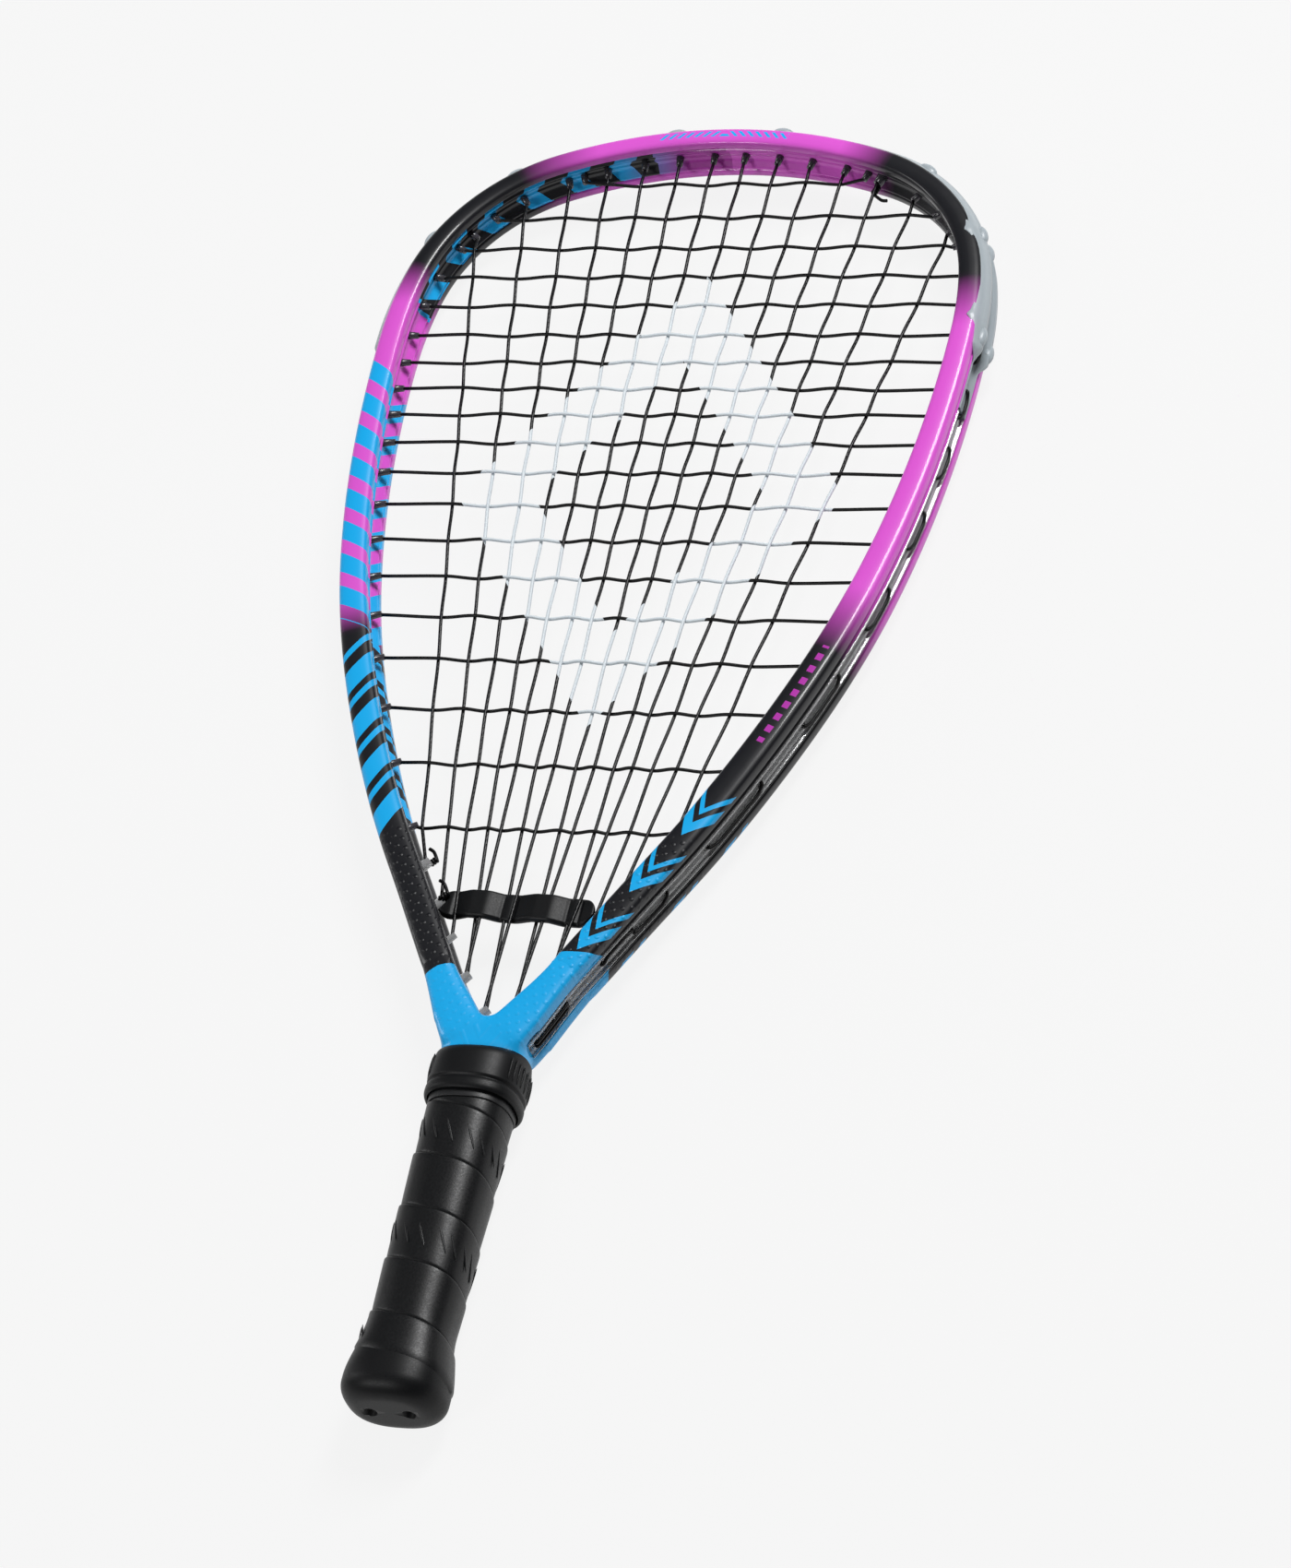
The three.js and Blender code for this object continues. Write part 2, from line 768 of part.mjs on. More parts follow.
function shiftedToWall(section, place) {
  const half = thicknessAt(place) / 2;
  return section.map(({ x, y }) => new THREE.Vector2(x + half, y));
}

function trimSolid(from, to, sectionAt, own) {
  const places = [from];
  for (let station = -halfStations; station <= halfStations; station++) {
    const place = station / halfStations;
    if (place > from + stationMargin && place < to - stationMargin) places.push(place);
  }
  places.push(to);
  const stations = places.map((place) => hoopStation(
    place,
    shiftedToWall(sectionAt(place), place),
  ));
  const base = solidOf(loft(stations));
  const barrels = own.map((one) => prism(
    one,
    one.bore + barrelWall,
    0,
    runTo(one, seatGap - channelDepth + stripBase / 2),
  ));
  const bores = own.map((one) => prism(
    one,
    one.bore,
    -overrun,
    runTo(one, guardSkin + overrun),
  ));
  return { base: union([base, ...barrels]), bores };
}

// A pair of domes on the guard, one on each side of its groove
function studSolid(place) {
  const { outward } = hoopFrame(place);
  const halfWidth = (guardReach - grooveHalf) / 2 - studMargin;
  const dome = Array.from({ length: studRings + 1 }, (_, ring) => {
    const angle = Math.PI / 2 * ring / studRings;
    return new THREE.Vector2(Math.cos(angle), Math.sin(angle));
  });
  dome.unshift(new THREE.Vector2(0, 0));
  dome.at(-1).x = 0;
  const geometry = new THREE.LatheGeometry(dome, studSides);
  const foot = overWall(place, guardSkin - guardEdge, 0);
  geometry.scale(studHalfLength, studHeight + guardEdge, halfWidth);
  geometry.rotateZ(Math.atan2(-outward.x, outward.y));
  return [-1, 1].map((side) => {
    const one = geometry.clone();
    one.translate(foot.x, foot.y, side * (grooveHalf + guardReach) / 2);
    return solidOf(one);
  });
}

function guardSolid() {
  const own = holes.filter(({ place }) => Math.abs(place) < guardEndPlace);
  const { base, bores } = trimSolid(-guardEndPlace, guardEndPlace, guardSection, own);
  const studs = studPlaceShares.flatMap((place) => [-place, place]).flatMap(studSolid);
  return difference(union([base, ...studs]), bores);
}

function stripSolid(side) {
  const start = guardEndPlace + stripJoint / hoopFrame(guardEndPlace).speed;
  const own = holes.filter(({ place }) => place * side > guardEndPlace);
  const [from, to] = side > 0 ? [start, stripEndPlace] : [-stripEndPlace, -start];
  const { base, bores } = trimSolid(from, to, stripSection, own);
  return difference(base, bores);
}

// Height of a main below its last cross
function mainHeight(main, y) {
  const last = crossesOf(main).at(-1);
  const from = crossHeight(last);
  const down = (from - y) / (from - mains[main].foot.tip.y);
  return lerp(overUnder(main, last), liftOf(main, 'foot'), down);
}

// Damper: a bar that passes over some mains and under others
function damperSolid() {
  const y = throatFoot + damperRise;
  const clear = damperThickness / 2 + stringRadius + seatGap;
  const first = middle - damperFront.length / 2;
  const marks = damperFront.flatMap((above, index) => {
    const main = first + index;
    const x = mainX(main, y);
    const lean = Math.abs(mainX(main, y + damperWidth / 2) - x);
    const flat = stringRadius + seatGap + lean;
    const z = mainHeight(main, y) + (above ? clear : -clear);
    return [{ x: x - flat, z }, { x: x + flat, z }];
  });
  marks[0].x = -damperLength / 2;
  marks.at(-1).x = damperLength / 2;
  const section = (shrink) => {
    const wide = damperWidth / 2 - shrink;
    const thick = damperThickness / 2;
    return mirroredPairs([
      [-wide, thick - damperRound],
      [damperRound - wide, thick],
      [wide - damperRound, thick],
      [wide, thick - damperRound],
    ]);
  };
  return loft(marks.map(({ x, z }, index) => {
    const end = index === 0 || index === marks.length - 1;
    return {
      section: section(end ? damperRound * 2 : 0),
      put: ({ x: across, y: up }) => new THREE.Vector3(x, y + across, z + up),
    };
  }));
}

// Handle: sleeves over the shaft, each with its bottom and top profile
function ringsOf(profile) {
  return profile.map(([y, halfWidth, halfDepth]) => handleStation(y, halfWidth, halfDepth));
}

function sleeve(outer, inner) {
  return loft([...ringsOf(outer), ...ringsOf(inner).toReversed()], true);
}

function palletSolid(side) {
  const outer = [
    [palletEnd, palletHalfWidth, palletHalfDepth],
    [palletTop, palletHalfWidth, palletHalfDepth],
  ];
  const inner = [
    [palletEnd, shaftHalfWidth + sleeveGap, shaftHalfDepth + sleeveGap],
    [palletTop, shaftHalfWidth + sleeveGap, shaftHalfDepth + sleeveGap],
  ];
  const deep = palletHalfDepth + overrun;
  const keep = new THREE.BoxGeometry(palletHalfWidth * 3, palletTop * 2, deep);
  keep.translate(0, (palletEnd + palletTop) / 2, side * (palletSplit + deep) / 2);
  return solidOf(sleeve(outer, inner)).intersect(solidOf(keep));
}

// Half sizes of the flared end under the wrap
function flare(y) {
  const share = 1 - THREE.MathUtils.smoothstep(y, capBelly, capSleeve + overrun);
  const wide = palletHalfWidth + sleeveGap + capWall;
  const deep = palletHalfDepth + sleeveGap + capWall;
  const skin = wrapThickness + sleeveGap;
  return [
    lerp(wide, capHalfWidth - skin, share),
    lerp(deep, capHalfDepth - skin, share),
  ];
}

function capSolid() {
  const cover = wrapThickness + sleeveGap + wrapLap;
  const flareSteps = 4;
  const hidden = Array.from({ length: flareSteps + 1 }, (_, step) => {
    const y = lerp(wrapStart, capSleeve, step / flareSteps);
    return [y, ...flare(y)];
  });
  const rim = wrapStart - sleeveGap;
  const [rimWide, rimDeep] = flare(rim).map((half) => half + cover);
  const corner = capEdge * (1 - Math.SQRT1_2);
  const outer = [
    [0, capHalfWidth - capEdge, capHalfDepth - capEdge],
    [corner, capHalfWidth - corner, capHalfDepth - corner],
    [capEdge, capHalfWidth, capHalfDepth],
    [capBelly, capHalfWidth, capHalfDepth],
    [rim, rimWide, rimDeep],
    ...hidden,
  ];
  const pocketWide = palletHalfWidth + sleeveGap;
  const pocketDeep = palletHalfDepth + sleeveGap;
  const pocket = [
    [capFloor, pocketWide, pocketDeep],
    [capSleeve, pocketWide, pocketDeep],
  ];
  const cup = solidOf(loft([...ringsOf(outer), ...ringsOf(pocket).toReversed()]));
  const drills = [-1, 1].map((side) => {
    const drill = new THREE.CylinderGeometry(
      tetherHoleRadius,
      tetherHoleRadius,
      capFloor * 3,
      drillSides,
    );
    drill.translate(side * tetherHoleSpacing / 2, 0, 0);
    return solidOf(drill);
  });
  return difference(cup, drills);
}

// Outer skin of the wrap: each lap rises to its edge, which runs round as a helix
function wrapOuterStation(y) {
  const taper = THREE.MathUtils.smoothstep(wrapEnd - y, 0, tapeLength);
  const [wide, deep] = flare(y).map((half) => half + sleeveGap + wrapThickness);
  const section = boxyRing.map((direction) => {
    const turn = Math.atan2(direction.y, direction.x) / (2 * Math.PI);
    const run = (y - wrapStart) / wrapPitch - turn - wrapTurnShare;
    const lap = wrapLap * THREE.MathUtils.euclideanModulo(run, 1) * taper;
    return new THREE.Vector2(direction.x * (wide + lap), direction.y * (deep + lap));
  });
  return { section, put: ({ x, y: z }) => new THREE.Vector3(x, y, z) };
}

function wrapSolid() {
  const steps = Math.round((wrapEnd - wrapStart) / wrapPitch * lapSteps);
  const outer = Array.from({ length: steps + 1 }, (_, step) => (
    wrapOuterStation(lerp(wrapStart, wrapEnd, step / steps))
  ));
  const flareSteps = 5;
  const lining = Array.from({ length: flareSteps + 1 }, (_, step) => {
    const y = lerp(wrapStart, capSleeve + sleeveGap, step / flareSteps);
    return [y, ...flare(y).map((half) => half + sleeveGap)];
  });
  const wide = palletHalfWidth + sleeveGap;
  const deep = palletHalfDepth + sleeveGap;
  lining.push([capSleeve + sleeveGap * 2, wide, deep]);
  lining.push([palletTop + sleeveGap, wide, deep]);
  lining.push([wrapEnd, shaftHalfWidth + collarWall * 2, shaftHalfDepth + collarWall * 2]);
  return loft([...outer, ...ringsOf(lining).toReversed()], true);
}

const [wrapHalfWidth, wrapHalfDepth] = flare(wrapEnd).map(
  (half) => half + sleeveGap + wrapThickness,
);

function tapeSolid() {
  const wide = wrapHalfWidth + sleeveGap;
  const deep = wrapHalfDepth + sleeveGap;
  const bottom = wrapEnd - tapeLength;
  const top = wrapEnd + sleeveGap;
  const lift = wrapLap;
  return sleeve(
    [
      [bottom, wide + lift + tapeThickness, deep + lift + tapeThickness],
      [top, wide + tapeThickness, deep + tapeThickness],
    ],
    [[bottom, wide + lift, deep + lift], [top, wide, deep]],
  );
}

function collarSolid() {
  const wide = wrapHalfWidth + sleeveGap * 2 + tapeThickness;
  const deep = wrapHalfDepth + sleeveGap * 2 + tapeThickness;
  const bottom = collarTop - collarLength;
  const lift = wrapLap / 2;
  const throat = wrapEnd + sleeveGap * 2 + collarLip;
  const neckWide = shoulderHalfWidth + sleeveGap;
  const neckDeep = shoulderHalfDepth + sleeveGap;
  const outerAt = (y, out) => [y, wide + collarWall + out, deep + collarWall + out];
  const groove = bottom + collarGroove;
  return sleeve(
    [
      outerAt(bottom, 0),
      outerAt(bottom + collarLip, collarBead),
      outerAt(groove - collarLip, collarBead),
      outerAt(groove, 0),
      outerAt(groove + collarLip, collarBead),
      outerAt((groove + collarTop) / 2, collarBead),
      outerAt(collarTop - collarLip * 2, 0),
      [collarTop, neckWide + collarLip, neckDeep + collarLip],
    ],
    [
      [bottom, wide + lift, deep + lift],
      [throat - collarLip, wide, deep],
      [throat, neckWide, neckDeep],
      [collarTop, neckWide, neckDeep],
    ],
  );
}

// Finishes
const clearPlastic = {
  color: 0xb9c4cb,
  roughness: 0.25,
  metalness: 0,
  transparent: true,
  opacity: 0.6,
};
const blackRubber = { color: 0x17181a, roughness: 0.55, metalness: 0 };
const blackString = { color: 0x101012, roughness: 0.35, metalness: 0 };

const mainsString = mainPath();
const crossString = crossPath();
for (const [label, path] of [['mains', mainsString], ['crosses', crossString]]) {
  const { least, length } = leastGap(path);
  console.log(`${label}: ${length.toFixed(0)} mm long, least gap to itself ${least.toFixed(2)} mm`);
}

const group = new THREE.Group();
group.add(
  meshOf('frame', frameSolid(), { color: 0xd94fcd, roughness: 0.22, metalness: 0.1 }),
  meshOf('bumper_guard', guardSolid(), clearPlastic),
  meshOf('left_grommet_strip', stripSolid(-1), clearPlastic),
  meshOf('right_grommet_strip', stripSolid(1), clearPlastic),
  meshOf('main_string', tube(mainsString), blackString),
  meshOf('cross_string', tube(crossString), blackString),
  meshOf('string_damper', damperSolid(), blackRubber),
  meshOf('pallet_front', palletSolid(1), { color: 0x3b3d40, roughness: 0.8, metalness: 0 }),
  meshOf('pallet_back', palletSolid(-1), { color: 0x3b3d40, roughness: 0.8, metalness: 0 }),
  meshOf('butt_cap', capSolid(), blackRubber),
  meshOf('grip_wrap', wrapSolid(), blackRubber),
  meshOf('finishing_tape', tapeSolid(), { color: 0x202124, roughness: 0.5, metalness: 0 }),
  meshOf('grip_collar', collarSolid(), blackRubber),
);

export default group;
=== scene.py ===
"""Racquetball racket on a pale studio floor.

Sizes are in millimetres until a mesh is made, and every mesh is in metres in the row's frame:
X across the head, Y from the butt to the head, Z out of the front face.
"""

import logging
import math
from dataclasses import dataclass, field
from enum import Enum
from functools import cached_property
from typing import Any, Callable, Sequence

import bmesh
import bpy
import numpy as np
from mathutils import Matrix, Vector


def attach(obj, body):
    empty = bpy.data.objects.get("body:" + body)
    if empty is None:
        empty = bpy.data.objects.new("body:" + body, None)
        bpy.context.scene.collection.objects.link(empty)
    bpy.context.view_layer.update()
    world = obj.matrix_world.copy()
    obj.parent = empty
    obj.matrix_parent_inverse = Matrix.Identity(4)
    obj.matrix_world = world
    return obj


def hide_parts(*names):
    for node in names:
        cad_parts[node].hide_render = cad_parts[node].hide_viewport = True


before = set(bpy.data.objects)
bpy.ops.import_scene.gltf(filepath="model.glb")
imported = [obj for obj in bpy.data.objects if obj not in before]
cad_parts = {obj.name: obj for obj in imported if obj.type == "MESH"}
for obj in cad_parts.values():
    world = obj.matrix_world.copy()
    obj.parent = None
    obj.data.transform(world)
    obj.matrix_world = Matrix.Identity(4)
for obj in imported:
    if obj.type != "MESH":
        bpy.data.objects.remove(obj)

LOG = logging.getLogger("racket")
MM = 0.001
BODY = "root"
FULL_TURN = 2 * math.pi


class Side(Enum):
    """Side of the racket, seen from the front."""

    LEFT = -1
    RIGHT = 1


class Slot(Enum):
    """Names of the material slots that new pieces are passed with."""

    FRAME = "painted_frame"
    CLEAR = "clear_plastic"
    STRING = "black_string"
    RUBBER = "black_rubber"
    TAPE = "black_tape"


# Materials


def linear(code: str) -> tuple[float, float, float, float]:
    """Turns an sRGB hex colour into linear light.

    Args:
        code: Six hex digits.

    Returns:
        Red, green, blue and an alpha of 1.
    """
    parts = [int(code[start:start + 2], 16) / 255 for start in (0, 2, 4)]
    light = [part / 12.92 if part <= 0.04045 else ((part + 0.055) / 1.055) ** 2.4 for part in parts]
    return (light[0], light[1], light[2], 1.0)


def add_node(
    tree: bpy.types.NodeTree, kind: str, *values: Any, named: dict | None = None, output: int = 0,
    **settings: Any,
) -> Any:
    """Adds a node to a tree with its settings and links.

    Args:
        tree: Shader or geometry node tree.
        kind: Node type.
        values: A value or a socket for each input in turn, or None.
        named: The same by the input's name or index.
        output: Index of the output wanted.
        settings: Properties of the node.

    Returns:
        The output's socket, or the node where it has none.
    """
    node = tree.nodes.new(kind)
    for name, value in settings.items():
        setattr(node, name, value)
    for key, value in [*enumerate(values), *(named or {}).items()]:
        if isinstance(value, bpy.types.NodeSocket):
            tree.links.new(value, node.inputs[key])
        elif value is not None:
            node.inputs[key].default_value = value
    return node.outputs[output] if len(node.outputs) else node


@dataclass(frozen=True)
class Finish:
    """Finish of a surface: one principled shader, and a pattern that its nodes add."""

    name: str
    colour: str = "808080"
    roughness: float = 0.5
    ior: float = 1.5
    coat: float = 0.0
    coat_roughness: float = 0.03
    transmission: float = 0.0
    grain: float = 0.8
    depth: float = 0.03

    def make(self) -> bpy.types.Material:
        """Makes the material with its uniform values on the shader's sockets."""
        material = bpy.data.materials.new(self.name)
        material.use_nodes = True
        tree = material.node_tree
        shader = tree.nodes["Principled BSDF"]
        values = {
            "Base Color": linear(self.colour),
            "Roughness": self.roughness,
            "IOR": self.ior,
            "Coat Weight": self.coat,
            "Coat Roughness": self.coat_roughness,
            "Transmission Weight": self.transmission,
        }
        for name, value in values.items():
            shader.inputs[name].default_value = value
        height, depth = self.pattern(tree, shader)
        raised = {"Height": height, "Distance": depth * MM}
        tree.links.new(add_node(tree, "ShaderNodeBump", named=raised), shader.inputs["Normal"])
        return material

    def pattern(self, tree: bpy.types.NodeTree, shader: bpy.types.Node) -> tuple[Any, float]:
        """Adds fine unevenness to the gloss and the surface.

        Args:
            tree: Shader node tree.
            shader: Its principled shader.

        Returns:
            Socket of the relief from 0 to 1, and the height in mm that 1 stands for.
        """
        place = add_node(tree, "ShaderNodeTexCoord", output=3)
        named = {"Vector": place, "Scale": 1 / (self.grain * MM), "Detail": 3.0}
        grain = add_node(tree, "ShaderNodeTexNoise", named=named)
        limits = (0.3, 0.7, self.roughness * 0.85, self.roughness * 1.15)
        rough = add_node(tree, "ShaderNodeMapRange", grain, *limits)
        tree.links.new(rough, shader.inputs["Roughness"])
        return grain, self.depth


class Paint(Enum):
    """Colours of the frame's paint; magenta also stands in for painted shade on the crown's inner
    wall.
    """

    PINK = "D052C6"
    MAGENTA = "A92FA0"
    BLACK = "101116"
    BLUE = "0DA3E2"


class Way(Enum):
    """How painted edges run: mm along the hoop for each mm around it, and whether flanks mirror."""

    STRAIGHT = (0.0, False)
    RISING = (0.7, False)
    FALLING = (-0.8, False)
    STEEP = (1.0, False)
    SEAM = (0.55, False)
    CHEVRON = (1.5, True)
    CUFF = (-0.18, True)


class Zone(Enum):
    """Limits of a coat around the section, in mm from the lobe's crest, inner wall below 0."""

    WHOLE = (-100.0, 100.0)
    INNER = (-100.0, -7.5)
    LOBE = (-7.2, 7.2)
    CREST = (-0.8, 1.8)


# Stops of sprayed fades, by mm from the crown; the inner wall's begins with painted shade, a darker
# magenta near the crown
LEFT_FADE = (
    (0, Paint.PINK), (50, Paint.PINK), (82, Paint.BLACK), (137, Paint.BLACK), (156, Paint.PINK),
    (296, Paint.PINK), (313, Paint.BLACK), (519, Paint.BLACK),
)
RIGHT_FADE = (
    (0, Paint.PINK), (49, Paint.PINK), (70, Paint.BLACK), (144, Paint.BLACK), (168, Paint.PINK),
    (289, Paint.PINK), (317, Paint.BLACK), (519, Paint.BLACK),
)
# Inner wall: painted shade in darker magenta near the crown, then the blue paint
WALL_SHADE_AND_FADE = ((0, Paint.MAGENTA), (18, Paint.MAGENTA), (44, Paint.BLUE), (519, Paint.BLUE))
FADE_LENGTH = 520.0


@dataclass(frozen=True)
class Coat:
    """Masked coat over those before it: a stretch of the hoop, whole or in even bands.

    The stretch is in mm from the crown. Bands are their period in mm, and their start and end as
    shares of it.
    """

    colour: Any
    side: Side | None = None
    zone: Zone = Zone.WHOLE
    stretch: tuple[float, float] = (-1.0, 600.0)
    ends: Way = Way.STRAIGHT
    bands: tuple[float, float, float] | None = None
    lean: Way = Way.STRAIGHT


COATS = (
    Coat(RIGHT_FADE, Side.RIGHT),
    # Painted shade: darker magenta on the inner wall near the crown, fading into the blue paint
    Coat(WALL_SHADE_AND_FADE, Side.LEFT, Zone.INNER, (0, 152)),
    Coat(Paint.BLACK, Side.LEFT, Zone.INNER, (30, 150), bands=(19, 0.1, 0.62), lean=Way.RISING),
    Coat(Paint.BLUE, Side.LEFT, Zone.WHOLE, (187, 309), Way.RISING, (15.2, 0.3, 0.88), Way.RISING),
    *(
        Coat(Paint.BLUE, Side.LEFT, Zone.WHOLE, (318, 405), Way.FALLING, bands, Way.FALLING)
        for bands in ((21.8, 0.06, 0.5), (21.8, 0.66, 0.8))
    ),
    Coat(Paint.MAGENTA, Side.RIGHT, Zone.CREST, (316, 361), bands=(5.6, 0.1, 0.62)),
    *(
        Coat(Paint.BLUE, Side.RIGHT, Zone.LOBE, (378, 462), Way.CHEVRON, bands, Way.CHEVRON)
        for bands in ((28, 0.04, 0.15), (28, 0.28, 0.5))
    ),
    Coat(Paint.BLUE, None, Zone.CREST, (0, 26), bands=(3.4, 0.0, 0.42), lean=Way.STEEP),
    Coat(Paint.BLUE, Side.RIGHT, Zone.WHOLE, (463, 600), Way.SEAM),
    Coat(Paint.BLUE, Side.LEFT, Zone.WHOLE, (472, 600), Way.CUFF),
)


@dataclass(frozen=True)
class PaintedGraphite(Finish):
    """Moulded graphite under sprayed colours and a clear coat: soft fades, crisp masked bands, and
    painted shade on the crown's inner wall.
    """

    dot_step: float = 4.6
    dot_rank: float = 5.2
    dot_height: float = 0.26
    dot_limits: tuple[float, float] = (0.4, 0.95)
    dots_start: tuple[float, float] = (404.0, 412.0)
    dots_fade: tuple[float, float] = (462.0, 476.0)
    faint: float = 0.4
    unevenness: float = 60.0

    def sprayed(self, tree: bpy.types.NodeTree, run: Any, colour: Any) -> Any:
        """Gives a coat's colour: one value, or a fade's socket.

        Args:
            tree: Shader node tree.
            run: Socket of the distance from the crown in mm.
            colour: Paint, or the stops of a fade.

        Returns:
            Linear colour or socket.
        """
        if isinstance(colour, Paint):
            return linear(colour.value)
        share = add_node(tree, "ShaderNodeMath", run, FADE_LENGTH, operation="DIVIDE")
        faded = add_node(tree, "ShaderNodeValToRGB", share)
        elements = faded.node.color_ramp.elements
        while len(elements) < len(colour):
            elements.new(1.0)
        for element, (place, paint) in zip(elements, colour):
            element.position, element.color = place / FADE_LENGTH, linear(paint.value)
        return faded

    def mask(self, tree: bpy.types.NodeTree, limits: Sequence[tuple[Any, float, float]]) -> Any:
        """Adds a mask that is 1 where every value lies between its limits.

        Args:
            tree: Shader node tree.
            limits: Socket of each value, with its lowest and highest.

        Returns:
            The mask's socket.
        """
        whole = 1.0
        for value, low, high in limits:
            span = ((low + high) / 2, (high - low) / 2)
            inside = add_node(tree, "ShaderNodeMath", value, *span, operation="COMPARE")
            whole = add_node(tree, "ShaderNodeMath", inside, whole, operation="MULTIPLY")
        return whole

    def pattern(self, tree: bpy.types.NodeTree, shader: bpy.types.Node) -> tuple[Any, float]:
        """Lays the coats by place along and around the hoop, and raises dots near the grip."""
        run, around, side = (
            add_node(tree, "ShaderNodeAttribute", attribute_name=name, output=2)
            for name in ("run", "around", "side")
        )
        folded = add_node(tree, "ShaderNodeMath", around, operation="ABSOLUTE")
        ways = {}
        for way in Way:
            lean, mirrors = way.value
            values = (folded if mirrors else around, lean, run)
            ways[way] = add_node(tree, "ShaderNodeMath", *values, operation="MULTIPLY_ADD")
        colour = self.sprayed(tree, run, LEFT_FADE)
        for coat in COATS:
            limits = [(around, *coat.zone.value), (ways[coat.ends], *coat.stretch)]
            if coat.side:
                limits.append((side, *sorted((0.0, 2.0 * coat.side.value))))
            if coat.bands:
                period, low, high = coat.bands
                lean = ways[coat.lean]
                turns = add_node(tree, "ShaderNodeMath", lean, period, operation="DIVIDE")
                share = add_node(tree, "ShaderNodeMath", turns, operation="FRACT")
                limits.append((share, low, high))
            over = self.sprayed(tree, run, coat.colour)
            layers = {0: self.mask(tree, limits), 6: colour, 7: over}
            colour = add_node(tree, "ShaderNodeMix", data_type="RGBA", named=layers, output=2)
        tree.links.new(colour, shader.inputs["Base Color"])

        waves = []
        for value, step, kind in ((run, self.dot_step, "SINE"), (around, self.dot_rank, "COSINE")):
            turn = add_node(tree, "ShaderNodeMath", value, FULL_TURN / step, operation="MULTIPLY")
            waves.append(add_node(tree, "ShaderNodeMath", turn, operation=kind))
        crossed = add_node(tree, "ShaderNodeMath", *waves, operation="MULTIPLY")
        dots = add_node(tree, "ShaderNodeMapRange", crossed, *self.dot_limits)
        start = add_node(tree, "ShaderNodeMapRange", run, *self.dots_start)
        fade = add_node(tree, "ShaderNodeMapRange", run, *self.dots_fade, 1.0, self.faint)
        for share in (start, fade):
            dots = add_node(tree, "ShaderNodeMath", dots, share, operation="MULTIPLY")
        place = add_node(tree, "ShaderNodeTexCoord", output=3)
        named = {"Vector": place, "Scale": self.unevenness}
        skin = add_node(tree, "ShaderNodeTexNoise", named=named)
        relief = add_node(tree, "ShaderNodeMath", dots, 1.0, skin, operation="MULTIPLY_ADD")
        return relief, self.dot_height


@dataclass(frozen=True)
class StencilledNylon(Finish):
    """Twisted nylon string under a thin coating, with a white stencil on the bed's middle."""

    twist: float = 0.0
    strands: float = 3.0
    strand_pitch: float = 2.2
    ink: str = "CAD2D7"
    centre: tuple[float, float] = (4.0, 384.0)
    reach: tuple[float, float] = (76.0, 104.0)
    ring_middle: float = 0.8
    ring_half: float = 0.2

    def pattern(self, tree: bpy.types.NodeTree, shader: bpy.types.Node) -> tuple[Any, float]:
        """Adds the stencil by place on the bed and the twist along the string."""
        place = add_node(tree, "ShaderNodeTexCoord", output=3)
        shift = tuple(-part * MM for part in (*self.centre, 0))
        offset = add_node(tree, "ShaderNodeVectorMath", place, shift, operation="ADD")
        shares = (1 / self.reach[0] / MM, 1 / self.reach[1] / MM, 0)
        scaled = add_node(tree, "ShaderNodeVectorMath", offset, shares, operation="MULTIPLY")
        size = add_node(tree, "ShaderNodeVectorMath", scaled, operation="ABSOLUTE")
        total = add_node(
            tree, "ShaderNodeVectorMath", size, (1, 1, 0), operation="DOT_PRODUCT", output=1,
        )
        limits = (self.ring_middle, self.ring_half)
        ring = add_node(tree, "ShaderNodeMath", total, *limits, operation="COMPARE")
        named = {6: linear(self.colour), 7: linear(self.ink)}
        colour = add_node(tree, "ShaderNodeMix", ring, data_type="RGBA", named=named, output=2)
        tree.links.new(colour, shader.inputs["Base Color"])
        along, turn = (
            add_node(tree, "ShaderNodeAttribute", attribute_name=name, output=2)
            for name in ("along", "turn")
        )
        pitch = 1 / (self.strand_pitch * MM)
        laid = add_node(tree, "ShaderNodeMath", along, pitch, operation="MULTIPLY")
        values = (turn, self.strands, laid)
        strand = add_node(tree, "ShaderNodeMath", *values, operation="MULTIPLY_ADD")
        angle = add_node(tree, "ShaderNodeMath", strand, FULL_TURN, operation="MULTIPLY")
        wave = add_node(tree, "ShaderNodeMath", angle, operation="SINE")
        return add_node(tree, "ShaderNodeMapRange", wave, -1.0, 1.0), self.twist


# Coats that the eye reads: satin sprayed colours under gloss, with soft light along the lobe
PAINT = PaintedGraphite(
    "clear_coated_graphite", roughness=0.42, ior=1.38, coat=0.35, coat_roughness=0.08,
)
# Glass-like strips whose rims catch the light and let the dark channel show through
CLEAR_NYLON = Finish(
    "clear_nylon", "FAFBFC", 0.12, coat=0.5, transmission=0.74, grain=4.0, depth=0.008,
)
# Milky grey guard with a dull, slightly uneven shine
FROSTED_NYLON = Finish("frosted_nylon", "B4BEC4", 0.36, transmission=0.3)
# Dark barrels that only glint at their rims
SMOKY_NYLON = Finish("smoky_nylon", "55535A", 0.22, transmission=0.5)
# Mains with a rope-like glitter, crosses smoother and duller, both with the white stencil
TWISTED_STRING = StencilledNylon("twisted_nylon_string", "08080A", 0.34, ior=1.36, twist=0.035)
COATED_STRING = StencilledNylon("coated_nylon_string", "040405", 0.42, ior=1.33, twist=0.01)
# Moulded rubber: deep black with a broad soft highlight
RUBBER = Finish("black_rubber", "0A0B0D", 0.46, ior=1.32, grain=0.4, depth=0.015)
# Wrap a little glossier than the cap, as if tacky, with a fine skin
TACKY_RUBBER = Finish("tacky_wrap_rubber", "0B0C0E", 0.4, ior=1.38, grain=0.7, depth=0.03)
# Tape with the even sheen of vinyl
VINYL = Finish("black_vinyl_tape", "131416", 0.45, grain=0.5, depth=0.02)
# Rough open skin of moulded foam
FOAM = Finish("moulded_foam", "3B3D40", 0.8, grain=1.1, depth=0.12)


# Meshes


